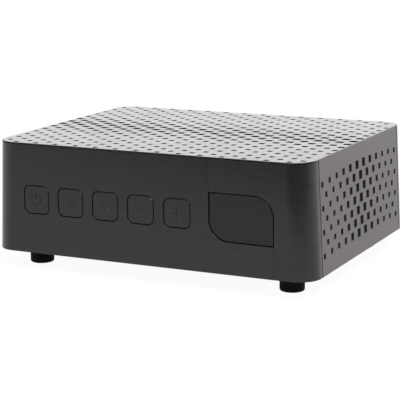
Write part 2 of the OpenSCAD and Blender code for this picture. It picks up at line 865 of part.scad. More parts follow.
module case_screws() {
    color(nickel) case_screw_places() translate([0, 0, bottom_z + screw_cup_h / 2])
        rotate([180, 0, 0]) screw_up(0, case_screw_l);
}

module key_board_screws() {
    color(nickel) key_board_screw_places() translate([0, kb_y + key_board_t, 0])
        rotate([-90, 0, 0]) screw_up(0, key_board_t + screw_bite);
}

module rear_screws() {
    color(nickel) for (sx = [-1, 1]) translate([sx * rear_screw_x, rear_y, rear_screw_z])
        rotate([-90, 0, 0]) screw_up(0, rear_t + screw_bite);
}

// Card reader: a flat housing with the card's mouth at the rear
module card_reader() {
    color([0.14, 0.14, 0.15]) difference() {
        block(reader_x, inner_y - seat_gap - reader[1], board_z - reader[2], reader[0], reader[1], reader[2]);
        block(reader_x, inner_y - seat_gap - reader[1] + 3, card_z - 0.6, card_w, reader[1], 1.2);
    }
}

// ---------------------------------------------------------------- tuner and aerial connectors

module tuner_can() {
    t = sheet;
    y = inner_y - seat_gap - can_d;
    color(tin) difference() {
        block(tuner_x, y, board_top, can_w, can_d, can_h);
        block(tuner_x, y + t, board_top - 1, can_w - 2 * t, can_d - 2 * t, can_h + 2);
        aerial_places() bar_y(0, y + can_d - 2 * t, 0, aerial_d / 2 - aerial_step + seat_gap, deep);
    }
}

module tuner_lid() {
    y = inner_y - seat_gap - can_d;
    color(tin) difference() {
        union() {
            block(tuner_x, y - sheet, board_top + can_h, can_w + 2 * sheet, can_d + sheet, sheet);
            block(tuner_x, y - sheet, board_top + can_h - 3, can_w + 2 * sheet, sheet, 3 + eps);
            for (s = [-1, 1]) block(tuner_x + s * (can_w + sheet) / 2, y, board_top + can_h - 3,
                                    sheet, can_d, 3 + eps);
        }
        // four trimming holes
        for (sx = [-1, 1], sy = [-1, 1])
            translate([tuner_x + sx * can_w / 4, y + (2 + sy) * can_d / 4, board_top + can_h - 1])
                cylinder(r = 1.5, h = 3);
    }
}

aerial_bore_r = 3;
aerial_step = 1;         // the barrel is this much narrower where it enters the tuner can
aerial_hole_r = 0.6;
washer_t = 0.6;
washer_r = 7;
nut_t = 2.2;
nut_across = 11.2;
thread_start = washer_t + nut_t;   // the nut ends here, at a narrow relief
thread_relief = 0.5;

// Threaded barrel on a round shoulder, hollow for its insert
module aerial_connector(s) {
    r = aerial_d / 2;
    color(nickel) translate([tuner_x + s * aerial_pitch / 2, 0, aerial_z]) difference() {
        union() {
            bar_y(0, inner_y - seat_gap, 0, r, rear_t + seat_gap + thread_start);
            bar_y(0, inner_y - seat_gap - sheet - 1, 0, r - aerial_step, 2 + sheet);
            bar_y(0, rear_y, 0, r - 0.4, aerial_reach);
            bar_y(0, rear_y + thread_start + thread_relief, 0, r,
                  aerial_reach - thread_start - thread_relief);
        }
        bar_y(0, inner_y - seat_gap - sheet, 0, aerial_bore_r, deep);
    }
}

module aerial_inserts() {
    color(cream) aerial_places() difference() {
        bar_y(0, inner_y - seat_gap - sheet, 0, aerial_bore_r - run_gap,
              rear_t + sheet + seat_gap + aerial_reach - 0.5);
        bar_y(0, inner_y + 1, 0, aerial_hole_r, deep);
    }
}

module aerial_washers() {
    color(nickel) aerial_places() difference() {
        bar_y(0, rear_y, 0, washer_r, washer_t);
        bar_y(0, rear_y - 1, 0, aerial_d / 2 + seat_gap, deep);
    }
}

module aerial_nuts() {
    color(nickel) aerial_places() difference() {
        translate([0, rear_y + washer_t, 0]) rotate([-90, 0, 0])
            cylinder(d = nut_across / cos(30), h = nut_t, $fn = 6);
        bar_y(0, rear_y, 0, aerial_d / 2 + seat_gap, deep);
    }
}

// ---------------------------------------------------------------- other sockets

power_depth = 8;
power_sunk = 0.3;
module power_inlet() {
    y1 = inner_y - seat_gap;
    color(chip_black) difference() {
        union() {
            block(power_x, y1 - power[1], board_top, power[0], power[1], power[2]);
            bar_y(power_x, y1 - eps, power_z, power_snout, rear_t + seat_gap - power_sunk + eps);
        }
        bar_y(power_x, y1 - power_depth, power_z, power_bore / 2, deep);
    }
}

module power_inlet_pin() {
    y1 = inner_y - seat_gap;
    r = power_pin / 2;
    color(nickel) {
        bar_y(power_x, y1 - power_depth, power_z, r, power_depth - r);
        translate([power_x, y1 - r, power_z]) sphere(r);
    }
}

av_reach = 0.6;
module av_socket() {
    y1 = inner_y - seat_gap;
    color(chip_black) difference() {
        union() {
            block(av_x, y1 - av[1], board_top, av[0], av[1], av[2]);
            bar_y(av_x, y1 - eps, av_z, av_snout, rear_t + seat_gap + av_reach + eps);
        }
        bar_y(av_x, y1 - av[1] + 1, av_z, av_bore / 2, deep);
    }
}

phono_reach = 7.5;
phono_wall = 0.7;
phono_depth = 2;
phono_pin_r = 1.65;
phono_insert_sunk = 1.2;
module phono_shell() {
    y1 = inner_y - seat_gap;
    color(nickel) difference() {
        union() {
            block(phono_x, y1 - phono[1], board_top, phono[0], phono[1], phono[2]);
            bar_y(phono_x, y1 - eps, phono_z, phono_collar_r, rear_t + seat_gap + 0.5 + eps);
            bar_y(phono_x, rear_y, phono_z, phono_d / 2, phono_reach);
        }
        bar_y(phono_x, y1 - phono_depth, phono_z, phono_d / 2 - phono_wall, deep);
    }
}

module phono_insert() {
    y1 = inner_y - seat_gap - phono_depth;
    color([0.85, 0.40, 0.08]) difference() {
        bar_y(phono_x, y1, phono_z, phono_d / 2 - phono_wall - run_gap,
              phono_depth + rear_t + seat_gap + phono_reach - phono_insert_sunk);
        bar_y(phono_x, y1 + 1, phono_z, phono_pin_r, deep);
    }
}

// Metal shell with an open rear end, closed at the front
shell_sunk = 0.2;        // shells and network socket behind the rear face
tongue_sunk = 1.5;       // tongues behind the mouths of their shells
module socket_shell(x, size) {
    y1 = rear_y - shell_sunk;
    difference() {
        block(x, y1 - size[1], board_top, size[0], size[1], size[2]);
        block(x, y1 - size[1] + sheet, board_top + sheet, size[0] - 2 * sheet, size[1], size[2] - 2 * sheet);
    }
}

module socket_tongue(x, size, w, t, z) {
    y0 = rear_y - shell_sunk - size[1] + sheet;
    block(x, y0, board_top + z, w, size[1] - sheet - tongue_sunk, t);
}

module usb_shell() { color(tin) socket_shell(usb_x, usb); }
usb_tongue_w = 11.1;
usb_tongue_t = 1.8;
usb_tongue_drop = 1.2;
hdmi_tongue_w = 11.2;
hdmi_tongue_t = 1.1;
module usb_tongue() {
    color([0.92, 0.92, 0.90]) socket_tongue(usb_x, usb, usb_tongue_w, usb_tongue_t,
                                            usb[2] - sheet - usb_tongue_drop - usb_tongue_t);
}
module hdmi_shell() { color(nickel) socket_shell(hdmi_x, hdmi); }
module hdmi_tongue() {
    color(chip_black) socket_tongue(hdmi_x, hdmi, hdmi_tongue_w, hdmi_tongue_t,
                                    (hdmi[2] - hdmi_tongue_t) / 2 - 0.25);
}

network_sill = 3.2;      // under the plug's space
network_depth = 13;
latch_w = 6;
latch_h = 1.6;
module network_socket() {
    y1 = rear_y - shell_sunk;
    z = board_top + network_sill;
    color(tin) difference() {
        block(network_x, y1 - network[1], board_top, network[0], network[1], network[2]);
        block(network_x, y1 - network_depth, z, network_w, deep, network_h);
        block(network_x, y1 - network_depth, z + network_h - eps, latch_w, deep, latch_h);
    }
}

// ---------------------------------------------------------------- parts

top_cover();
front_fascia();
display_window();
rear_panel();
base_tray();
foot_at(-1, front_y + foot_inset);  // foot_front_left
foot_at(1, front_y + foot_inset);  // foot_front_right
foot_at(-1, rear_y - foot_inset);  // foot_rear_left
foot_at(1, rear_y - foot_inset);  // foot_rear_right
key(0);  // key_standby
key(1);  // key_channel_down
key(2);  // key_channel_up
key(3);  // key_volume_down
key(4);  // key_volume_up
plunger(0);  // plunger_standby
plunger(1);  // plunger_channel_down
plunger(2);  // plunger_channel_up
plunger(3);  // plunger_volume_down
plunger(4);  // plunger_volume_up
key_board();
key_switches();
display_module();
display_digits();
infrared_receiver();
status_lamp();
front_ribbon();
ribbon_sockets();
main_board();
main_processor();
thermal_pad();
heat_sink();
memory_chips();
flash_chip();
power_inductors();
smoothing_capacitors();
clock_crystal();
lnb_regulator();
card_reader();
tuner_can();
tuner_lid();
aerial_connector(-1);  // aerial_input
aerial_connector(1);  // aerial_loop_output
aerial_inserts();
aerial_washers();
aerial_nuts();
power_inlet();
power_inlet_pin();
av_socket();
phono_shell();
phono_insert();
usb_shell();
usb_tongue();
hdmi_shell();
hdmi_tongue();
network_socket();
case_screws();
board_screws();
key_board_screws();
rear_screws();
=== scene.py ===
"""Looks of a small satellite television receiver: its finishes, rounded edges, threads,
contacts and board detail, with the camera and the light, built round the packed solids."""
import json
import math

import bmesh
import bpy
from bpy.props import FloatProperty, FloatVectorProperty, PointerProperty
from mathutils import Matrix, Vector
from mathutils.geometry import convex_hull_2d, intersect_point_line

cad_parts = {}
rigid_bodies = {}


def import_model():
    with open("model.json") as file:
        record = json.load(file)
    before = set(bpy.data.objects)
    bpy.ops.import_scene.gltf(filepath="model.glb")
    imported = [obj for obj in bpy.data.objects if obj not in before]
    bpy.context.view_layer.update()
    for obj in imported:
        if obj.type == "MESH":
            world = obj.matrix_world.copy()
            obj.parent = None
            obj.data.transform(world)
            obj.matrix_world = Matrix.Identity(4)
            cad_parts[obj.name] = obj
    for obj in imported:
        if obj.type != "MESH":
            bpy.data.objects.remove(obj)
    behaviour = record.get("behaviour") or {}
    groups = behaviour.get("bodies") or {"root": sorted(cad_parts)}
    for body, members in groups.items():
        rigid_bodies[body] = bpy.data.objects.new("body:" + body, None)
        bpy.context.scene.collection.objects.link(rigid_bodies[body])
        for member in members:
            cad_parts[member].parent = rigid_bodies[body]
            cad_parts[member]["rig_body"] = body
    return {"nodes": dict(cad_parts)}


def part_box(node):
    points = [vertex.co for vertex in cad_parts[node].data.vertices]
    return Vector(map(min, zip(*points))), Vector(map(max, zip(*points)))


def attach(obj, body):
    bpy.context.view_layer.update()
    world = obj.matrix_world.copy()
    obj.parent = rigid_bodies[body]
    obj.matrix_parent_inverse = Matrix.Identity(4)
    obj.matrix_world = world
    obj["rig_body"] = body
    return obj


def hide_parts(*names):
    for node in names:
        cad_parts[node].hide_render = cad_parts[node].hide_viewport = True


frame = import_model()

bl_info = {
    "name": "Satellite receiver looks",
    "version": (1, 0, 0),
    "blender": (4, 5, 0),
    "location": "View3D > Sidebar > Receiver",
    "description": "Dresses the receiver's solids with finishes, rounded edges and fine detail",
    "category": "Object",
}

MM = 0.001
MERGE = 0.002 * MM           # corners closer than this are one corner
FLAT = math.radians(0.4)     # faces that turn less than this are one flat face
CREASE = math.radians(35)    # edges that turn more than this are edges of the piece
SHARP = math.radians(50)     # edges that still turn more than this after rounding are shaded sharp

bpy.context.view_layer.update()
BOX = {name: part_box(name) for name in frame["nodes"]}     # lowest and highest corner of each node
front_y = BOX["front_fascia"][0].y
rear_y = BOX["rear_panel"][1].y
bottom_z = BOX["base_tray"][0].z
top_z = BOX["top_cover"][1].z


# -------- settings

def length(label, about, default):
    return FloatProperty(name=label, description=about, default=default, min=0,
                         precision=5, unit="LENGTH", subtype="DISTANCE")


def colour(label, about, default):
    return FloatVectorProperty(name=label, description=about, default=default, min=0, max=1,
                               size=3, subtype="COLOR")


class ReceiverShapes(bpy.types.PropertyGroup):
    """Rounding and fine detail that the solids leave out"""
    case_round: length("Case edges", "Rounding of the outer edges of the case", 0.35 * MM)
    cover_round: length("Cover edge", "Rounding of the cover's edge along its top", 0.25 * MM)
    seam_round: length("Seam edge", "Rounding of the front moulding next to the cover", 0.8 * MM)
    hole_round: length("Hole rims", "Rounding of the rims of the perforation", 0.08 * MM)
    opening_round: length("Opening rims", "Rounding of the key and window openings", 0.18 * MM)
    key_round: length("Key edges", "Rounding of the key caps", 0.38 * MM)
    mark_round: length("Mark edges", "Rounding of the marks on the keys", 0.06 * MM)
    part_round: length("Part edges", "Rounding of the parts on the boards", 0.12 * MM)
    sheet_round: length("Sheet edges", "Rounding of the sheet metal parts", 0.06 * MM)
    thread_pitch: length("Thread pitch", "Pitch of the aerial connectors' threads", 0.794 * MM)
    thread_depth: length("Thread depth", "Depth of the aerial connectors' threads", 0.42 * MM)


class ReceiverColours(bpy.types.PropertyGroup):
    """Colours of the finishes"""
    cover: colour("Cover paint", "Satin paint of the perforated cover", (0.037, 0.028, 0.0275))
    front: colour("Front paint", "Brushed satin paint of the front", (0.0042, 0.0042, 0.0048))
    keys: colour("Key paint", "Satin paint of the key caps", (0.005, 0.005, 0.0065))
    rear: colour("Rear plastic", "Moulded plastic of rear and base", (0.014, 0.014, 0.015))
    window: colour("Window", "Smoked plastic of the display window", (0.030, 0.024, 0.024))
    rubber: colour("Rubber", "Rubber of the feet", (0.0042, 0.0042, 0.0042))
    board: colour("Board", "Lacquer of the boards", (0.010, 0.075, 0.034))
    resin: colour("Resin", "Resin of the chips", (0.016, 0.016, 0.018))
    nickel: colour("Nickel", "Nickel plating", (0.62, 0.59, 0.54))
    tin: colour("Tin", "Tinned sheet steel", (0.60, 0.60, 0.58))
    gold: colour("Gold", "Gold plating of the contacts", (0.72, 0.47, 0.14))


class ReceiverStage(bpy.types.PropertyGroup):
    """Camera, light and floor"""
    azimuth: FloatProperty(name="Azimuth", description="Camera's place round the receiver",
                           default=math.radians(26.267), subtype="ANGLE")
    elevation: FloatProperty(name="Elevation", description="Camera's height as an angle",
                             default=math.radians(11.82), subtype="ANGLE")
    roll: FloatProperty(name="Roll", description="Camera's turn about its own line of sight",
                        default=math.radians(0.5785), subtype="ANGLE")
    distance: length("Distance", "From the camera to the point that it looks at", 0.6017)
    aim_x: length("Aim across", "Point on the front that the camera looks at", 26.99 * MM)
    aim_z: length("Aim height", "Height of that point", 38.98 * MM)
    lens: FloatProperty(name="Lens", description="Focal length in millimetres", default=129.88)
    key_power: FloatProperty(name="Key light", description="Power of the softbox", default=14.0)
    back_power: FloatProperty(name="Back panel", description="Power of the panel behind",
                              default=17.5)
    top_power: FloatProperty(name="Overhead", description="Power of the overhead panel",
                             default=6.0)
    sky: FloatProperty(name="Sky", description="Strength of the even light", default=0.5)
    table_end: length("Table end", "From the middle to the table's edge towards the camera", 0.25)


# -------- shader building

def add(tree, kind, inputs=None, **settings):
    """One shader node. An input given as a socket is linked, and any other is set."""
    node = tree.nodes.new("ShaderNode" + kind)
    for key, value in settings.items():
        setattr(node, key, value)
    for key, value in (inputs or {}).items():
        if isinstance(value, bpy.types.NodeSocket):
            tree.links.new(value, node.inputs[key])
        else:
            node.inputs[key].default_value = value
    return node


def effect(name, inputs, outputs):
    """An empty node group, and its sockets. Every group reads the piece's own coordinates."""
    tree = bpy.data.node_groups.new(name, "ShaderNodeTree")
    for label, kind, value in [("Coordinates", "Vector", None), *inputs]:
        socket = tree.interface.new_socket(label, in_out="INPUT", socket_type="NodeSocket" + kind)
        if value is not None:
            socket.default_value = value
    for label, kind in outputs:
        tree.interface.new_socket(label, in_out="OUTPUT", socket_type="NodeSocket" + kind)
    return tree, tree.nodes.new("NodeGroupInput").outputs, tree.nodes.new("NodeGroupOutput").inputs


def maths(tree, operation, a, b=0.0):
    return add(tree, "Math", {0: a, 1: b}, operation=operation).outputs[0]


def ranged(tree, value, low, high, to_low=0.0, to_high=1.0):
    return add(tree, "MapRange", {"Value": value, "From Min": low, "From Max": high,
                                  "To Min": to_low, "To Max": to_high}).outputs[0]


def mixed(tree, share, a, b):
    node = add(tree, "Mix", data_type="RGBA")
    for socket, value in zip((node.inputs[0], node.inputs[6], node.inputs[7]), (share, a, b)):
        if isinstance(value, bpy.types.NodeSocket):
            tree.links.new(value, socket)
        else:
            socket.default_value = value
    return node.outputs[2]


def opaque(rgb, gain=1.0):
    return (*(min(1.0, c * gain) for c in rgb), 1.0)


def make_grain():
    """Fine grain of moulded plastic or sprayed paint."""
    tree, given, made = effect("Fine grain", [("Scale", "Float", 3000.0)], [("Height", "Float")])
    noise = add(tree, "TexNoise", {"Vector": given["Coordinates"], "Scale": given["Scale"],
                                   "Detail": 3.0, "Roughness": 0.6})
    tree.links.new(noise.outputs["Fac"], made["Height"])
    return tree


def make_streaks():
    """Fine level lines of a brushed surface: long along the walls, short in height."""
    tree, given, made = effect("Brushed lines", [], [("Tone", "Float")])
    layers = []
    for stretch, detail, share in (((420.0, 420.0, 3200.0), 3.0, 0.65),
                                   ((60.0, 60.0, 900.0), 2.0, 0.35)):
        place = add(tree, "Mapping", {"Vector": given["Coordinates"], "Scale": stretch}).outputs[0]
        noise = add(tree, "TexNoise", {"Vector": place, "Scale": 1.0, "Detail": detail})
        layers.append(maths(tree, "MULTIPLY", noise.outputs["Fac"], share))
    tree.links.new(maths(tree, "ADD", *layers), made["Tone"])
    return tree


def make_smudges():
    """Slow unevenness of gloss, as handling leaves it."""
    tree, given, made = effect("Smudges", [("Scale", "Float", 45.0)], [("Amount", "Float")])
    noise = add(tree, "TexNoise", {"Vector": given["Coordinates"], "Scale": given["Scale"],
                                   "Detail": 4.0, "Roughness": 0.55})
    tree.links.new(ranged(tree, noise.outputs["Fac"], 0.35, 0.7), made["Amount"])
    return tree


def make_dust():
    """Dust that settles on faces which look up."""
    tree, given, made = effect("Settled dust", [("Amount", "Float", 0.1)], [("Mask", "Float")])
    up = add(tree, "SeparateXYZ", {0: add(tree, "NewGeometry").outputs["Normal"]}).outputs[2]
    level = ranged(tree, up, 0.5, 1.0)
    noise = add(tree, "TexNoise", {"Vector": given["Coordinates"], "Scale": 900.0, "Detail": 4.0,
                                   "Roughness": 0.7})
    spots = ranged(tree, noise.outputs["Fac"], 0.5, 0.75)
    mask = maths(tree, "MULTIPLY", maths(tree, "MULTIPLY", level, spots), given["Amount"])
    tree.links.new(mask, made["Mask"])
    return tree


def make_wear():
    """Rubbed edges, where the surface turns sharply outwards."""
    tree, given, made = effect("Painted edge highlight", [("Amount", "Float", 0.3)], [("Mask", "Float")])
    sharp = ranged(tree, add(tree, "NewGeometry").outputs["Pointiness"], 0.53, 0.62)
    noise = add(tree, "TexNoise", {"Vector": given["Coordinates"], "Scale": 350.0, "Detail": 3.0})
    patches = ranged(tree, noise.outputs["Fac"], 0.4, 0.65)
    mask = maths(tree, "MULTIPLY", maths(tree, "MULTIPLY", sharp, patches), given["Amount"])
    tree.links.new(mask, made["Mask"])
    return tree


def make_tracks():
    """Copper tracks under lacquer: level and upright runs by turns, and small round pads."""
    tree, given, made = effect("Copper tracks", [("Pitch", "Float", 1100.0)],
                               [("Tracks", "Float"), ("Pads", "Float")])
    # Each square patch of the board has level runs, upright runs or no copper, by chance
    patches = add(tree, "VectorMath", {0: given["Coordinates"], 1: (120.0, 120.0, 120.0)},
                  operation="MULTIPLY")
    patch = add(tree, "VectorMath", {0: patches.outputs[0]}, operation="FLOOR")
    chance = add(tree, "TexWhiteNoise", {"Vector": patch.outputs[0]}).outputs[0]
    turn = maths(tree, "GREATER_THAN", chance, 0.5)
    copper = maths(tree, "GREATER_THAN", chance, 0.18)
    parts = add(tree, "SeparateXYZ", {0: given["Coordinates"]})
    upright = maths(tree, "ADD", parts.outputs[1], parts.outputs[2])
    runs = []
    for along in (parts.outputs[0], upright):
        wave = maths(tree, "PINGPONG", maths(tree, "MULTIPLY", along, given["Pitch"]), 0.5)
        runs.append(maths(tree, "GREATER_THAN", wave, 0.27))
    level = maths(tree, "MULTIPLY", runs[0], turn)
    across = maths(tree, "MULTIPLY", runs[1], maths(tree, "SUBTRACT", 1.0, turn))
    either = maths(tree, "ADD", level, across)
    tree.links.new(maths(tree, "MULTIPLY", either, copper), made["Tracks"])
    dots = add(tree, "TexVoronoi", {"Vector": given["Coordinates"], "Scale": 260.0,
                                    "Randomness": 0.9})
    tree.links.new(maths(tree, "LESS_THAN", dots.outputs["Distance"], 0.10), made["Pads"])
    return tree


EFFECTS = {}


def make_effects():
    """Builds each shared effect once."""
    EFFECTS.update(grain=make_grain(), streaks=make_streaks(), smudges=make_smudges(),
                   dust=make_dust(), wear=make_wear(), tracks=make_tracks())


class Finish:
    """A material under way: its tree, its shader, and the coordinates that patterns follow."""

    def __init__(self, name, **plain):
        self.material = bpy.data.materials.new(name)
        self.material.use_nodes = True
        self.tree = self.material.node_tree
        self.shader = self.tree.nodes["Principled BSDF"]
        self.place = add(self.tree, "TexCoord").outputs["Object"]
        for label, value in plain.items():
            self.shader.inputs[label.replace("_", " ")].default_value = value

    def use(self, name, **values):
        """Places a shared effect with this material's own values."""
        node = self.tree.nodes.new("ShaderNodeGroup")
        node.node_tree = EFFECTS[name]
        self.tree.links.new(self.place, node.inputs["Coordinates"])
        for label, value in values.items():
            node.inputs[label].default_value = value
        return node.outputs

    def feed(self, label, socket):
        self.tree.links.new(socket, self.shader.inputs[label])

    def colour(self, socket):
        self.feed("Base Color", socket)

    def roughness(self, share, low, high, matt=None):
        """Roughness between two values by a share, and full where the matt mask is 1."""
        value = ranged(self.tree, share, 0.0, 1.0, low, high)
        self.feed("Roughness", value if matt is None else maths(self.tree, "MAXIMUM", value, matt))

    def bump(self, height, distance, strength=1.0):
        node = add(self.tree, "Bump",
                   {"Height": height, "Distance": distance, "Strength": strength})
        self.feed("Normal", node.outputs[0])


DUST_GREY = (0.32, 0.31, 0.29, 1.0)


def painted(name, rgb, roughness, ior, brushed=0.0, peel=0.004 * MM, uneven=0.02, bare=1.0):
    """Satin paint with a fine spray texture, and fine level lines where it is brushed.

    Faces whose "bare" attribute is 1, such as the walls of holes, got no paint, so they are
    matt, and darker by the share that bare gives."""
    made = Finish(name, IOR=ior)
    tone = made.use("streaks")["Tone"] if brushed else made.use("grain", Scale=1500.0)["Height"]
    swing = brushed or 0.1
    body = mixed(made.tree, ranged(made.tree, tone, 0.3, 0.7),
                 opaque(rgb, 1 - swing), opaque(rgb, 1 + swing))
    # Painted highlight: sharp edges lightened to three times the colour
    body = mixed(made.tree, made.use("wear", Amount=0.25)["Mask"], body, opaque(rgb, 3.0))
    body = mixed(made.tree, made.use("dust", Amount=0.02)["Mask"], body, DUST_GREY)
    bare_and_shade_mask = None
    # Painted shade: faces so marked are darkened to the given share of the colour
    if bare < 1:
        bare_and_shade_mask = add(made.tree, "Attribute", attribute_name="bare").outputs["Fac"]
        body = mixed(made.tree, bare_and_shade_mask, body, opaque(rgb, bare))
    made.colour(body)
    made.roughness(made.use("smudges")["Amount"], roughness - uneven, roughness + uneven, bare_and_shade_mask)
    made.bump(made.use("grain", Scale=2600.0)["Height"], peel)
    return made.material


def moulded(name, rgb, roughness, grain=0.02 * MM, scale=3500.0, ior=1.5, dust=0.04):
    """Moulded plastic or resin with a fine matt grain."""
    made = Finish(name, IOR=ior)
    height = made.use("grain", Scale=scale)["Height"]
    body = mixed(made.tree, height, opaque(rgb, 0.88), opaque(rgb, 1.12))
    # Painted highlight: sharp edges lightened to 2.2 times the colour
    body = mixed(made.tree, made.use("wear", Amount=0.3)["Mask"], body, opaque(rgb, 2.2))
    body = mixed(made.tree, made.use("dust", Amount=dust)["Mask"], body, DUST_GREY)
    made.colour(body)
    made.roughness(made.use("smudges", Scale=70.0)["Amount"], roughness - 0.05, roughness + 0.05)
    made.bump(height, grain)
    return made.material


def plated(name, rgb, roughness, grain=0.002 * MM):
    """Plated or tinned metal with faint rolling marks."""
    made = Finish(name, Metallic=1.0)
    tone = made.use("grain", Scale=900.0)["Height"]
    made.colour(mixed(made.tree, tone, opaque(rgb, 0.86), opaque(rgb, 1.08)))
    made.roughness(made.use("smudges", Scale=160.0)["Amount"], roughness - 0.06, roughness + 0.10)
    made.bump(tone, grain)
    return made.material


def smoked_plastic(rgb):
    """Clear plastic with a deep smoke tint, polished, with faint moulding swirls."""
    made = Finish("smoked window", Transmission_Weight=1.0, IOR=1.43)
    made.shader.inputs["Base Color"].default_value = opaque(rgb)
    made.roughness(made.use("smudges", Scale=60.0)["Amount"], 0.10, 0.16)
    made.bump(made.use("grain", Scale=400.0)["Height"], 0.002 * MM)
    return made.material


def board_lacquer(rgb):
    """Green lacquer over copper tracks, with tinned pads."""
    made = Finish("board lacquer", IOR=1.5)
    tracks = made.use("tracks")
    raised = (rgb[0] * 1.6, rgb[1] * 1.55, rgb[2] * 1.4)
    body = mixed(made.tree, tracks["Tracks"], opaque(rgb), opaque(raised))
    body = mixed(made.tree, tracks["Pads"], body, (0.55, 0.52, 0.45, 1.0))
    made.colour(mixed(made.tree, made.use("dust", Amount=0.15)["Mask"], body, DUST_GREY))
    made.roughness(made.use("smudges", Scale=80.0)["Amount"], 0.24, 0.36)
    made.bump(tracks["Tracks"], 0.03 * MM, 0.6)
    return made.material


def ribbon_foil():
    """Cream foil with a row of dark conductors along its length."""
    made = Finish("ribbon foil", IOR=1.5, Roughness=0.42)
    across = add(made.tree, "SeparateXYZ", {0: made.place}).outputs[0]
    wave = maths(made.tree, "PINGPONG", maths(made.tree, "MULTIPLY", across, 1000.0), 0.5)
    line = maths(made.tree, "GREATER_THAN", wave, 0.24)
    body = mixed(made.tree, line, (0.80, 0.76, 0.62, 1.0), (0.52, 0.50, 0.47, 1.0))
    made.colour(mixed(made.tree, made.use("dust", Amount=0.2)["Mask"], body, DUST_GREY))
    made.bump(line, 0.02 * MM)
    return made.material


def lens_resin(name, rgb, depth):
    """Tinted clear resin of a lamp or a receiver's lens."""
    made = Finish(name, Transmission_Weight=depth, IOR=1.53)
    cloud = made.use("grain", Scale=500.0)["Height"]
    made.colour(mixed(made.tree, cloud, opaque(rgb, 0.9), opaque(rgb, 1.1)))
    made.roughness(made.use("smudges", Scale=200.0)["Amount"], 0.08, 0.2)
    return made.material


FINISHES = {}


def make_finishes(colours):
    """Every material, under the name of the record's slot that it dresses."""
    FINISHES.update(
        # The last value of the cover and front paints darkens hole walls and the rim under the
        # cover, as painted shade
        cover_paint=painted("cover paint", colours.cover, 0.36, 1.56, peel=0.012 * MM, uneven=0.01,
                            bare=0.08),
        front_paint=painted("front paint", colours.front, 0.26, 1.49, brushed=0.9, bare=0.05),
        key_paint=painted("key paint", colours.keys, 0.22, 1.47, brushed=0.15),
        rear_plastic=moulded("rear plastic", colours.rear, 0.5),
        base_plastic=moulded("base plastic", colours.rear, 0.55, grain=0.03 * MM, scale=2600.0),
        smoked_window=smoked_plastic(colours.window),
        foot_rubber=moulded("foot rubber", colours.rubber, 0.7, ior=1.16, dust=0.0),
        circuit_board=board_lacquer(colours.board),
        switch_metal=plated("switch metal", colours.tin, 0.3),
        display_case=moulded("display case", (0.62, 0.62, 0.58), 0.5),
        display_bars=moulded("display bars", (0.42, 0.36, 0.30), 0.35, grain=0.004 * MM),
        smoked_lens=lens_resin("receiver resin", (0.03, 0.01, 0.02), 0.3),
        red_lens=lens_resin("lamp resin", (0.55, 0.03, 0.02), 0.6),
        ribbon=ribbon_foil(),
        cream_plastic=moulded("cream plastic", (0.72, 0.67, 0.54), 0.45),
        chip_resin=moulded("chip resin", colours.resin, 0.5, grain=0.012 * MM, scale=6000.0),
        thermal_rubber=moulded("thermal rubber", (0.30, 0.45, 0.58), 0.7),
        black_anodised=plated("black anodised", (0.035, 0.035, 0.040), 0.42),
        ferrite=moulded("ferrite", (0.045, 0.045, 0.048), 0.6, grain=0.03 * MM),
        capacitor_sleeve=moulded("capacitor sleeve", (0.012, 0.016, 0.035), 0.3, grain=0.003 * MM),
        nickel_plate=plated("nickel plate", colours.nickel, 0.24),
        tinned_steel=plated("tinned steel", colours.tin, 0.34),
        reader_plastic=moulded("reader plastic", (0.020, 0.020, 0.022), 0.5),
        white_insulator=moulded("white insulator", (0.74, 0.73, 0.68), 0.45, grain=0.006 * MM),
        orange_insulator=moulded("orange insulator", (0.80, 0.24, 0.03), 0.4, grain=0.006 * MM),
        socket_plastic=moulded("socket plastic", (0.012, 0.012, 0.013), 0.42),
        plunger_plastic=moulded("plunger plastic", (0.018, 0.018, 0.019), 0.4),
        screw_zinc=plated("zinc plate", (0.50, 0.50, 0.52), 0.3),
        gold_plate=plated("gold plate", colours.gold, 0.25),
        aluminium=plated("bare aluminium", (0.70, 0.70, 0.71), 0.3),
        ceramic=moulded("ceramic", (0.30, 0.20, 0.11), 0.5),
        green_lens=lens_resin("green light pipe", (0.30, 0.75, 0.28), 0.5),
        amber_lens=lens_resin("amber light pipe", (0.85, 0.50, 0.10), 0.5),
    )


# -------- mesh building

def solid(node):
    """The packed solid as one closed mesh, its flat faces whole."""
    bm = bmesh.new()
    bm.from_mesh(frame["nodes"][node].data)
    bmesh.ops.remove_doubles(bm, verts=bm.verts, dist=MERGE)
    bmesh.ops.dissolve_limit(bm, angle_limit=FLAT, verts=bm.verts, edges=bm.edges,
                             use_dissolve_boundaries=False)
    return bm


def round_edges(bm, width, segments, wanted=None):
    """Rounds the creased edges that are wanted. The test gets an edge's middle and the edge."""
    edges = [e for e in bm.edges if e.is_manifold and e.calc_face_angle() > CREASE
             and (wanted is None or wanted((e.verts[0].co + e.verts[1].co) / 2, e))]
    if not edges:
        raise RuntimeError("there is no edge to round here")
    bmesh.ops.bevel(bm, geom=edges, offset=width, offset_type="OFFSET", segments=segments,
                    profile=0.5, affect="EDGES", clamp_overlap=True, material=-1)


def turned(profile, steps, closed=False):
    """A solid of revolution about Z. The outline's points are (radius, height)."""
    bm = bmesh.new()
    verts = [bm.verts.new((r, 0, z)) for r, z in profile]
    edges = [bm.edges.new(pair) for pair in zip(verts, verts[1:])]
    if closed:
        edges.append(bm.edges.new((verts[-1], verts[0])))
    bmesh.ops.spin(bm, geom=verts + edges, cent=(0, 0, 0), axis=(0, 0, 1), angle=math.tau,
                   steps=steps, use_merge=True)
    bmesh.ops.remove_doubles(bm, verts=bm.verts, dist=MERGE)
    bmesh.ops.recalc_face_normals(bm, faces=bm.faces)
    return bm


def in_mm(*points):
    return [(a * MM, b * MM) for a, b in points]


def quarter():
    """Angles from 0 to 90 degrees, for the points of a rounded corner."""
    return [math.radians(15 * k) for k in range(7)]


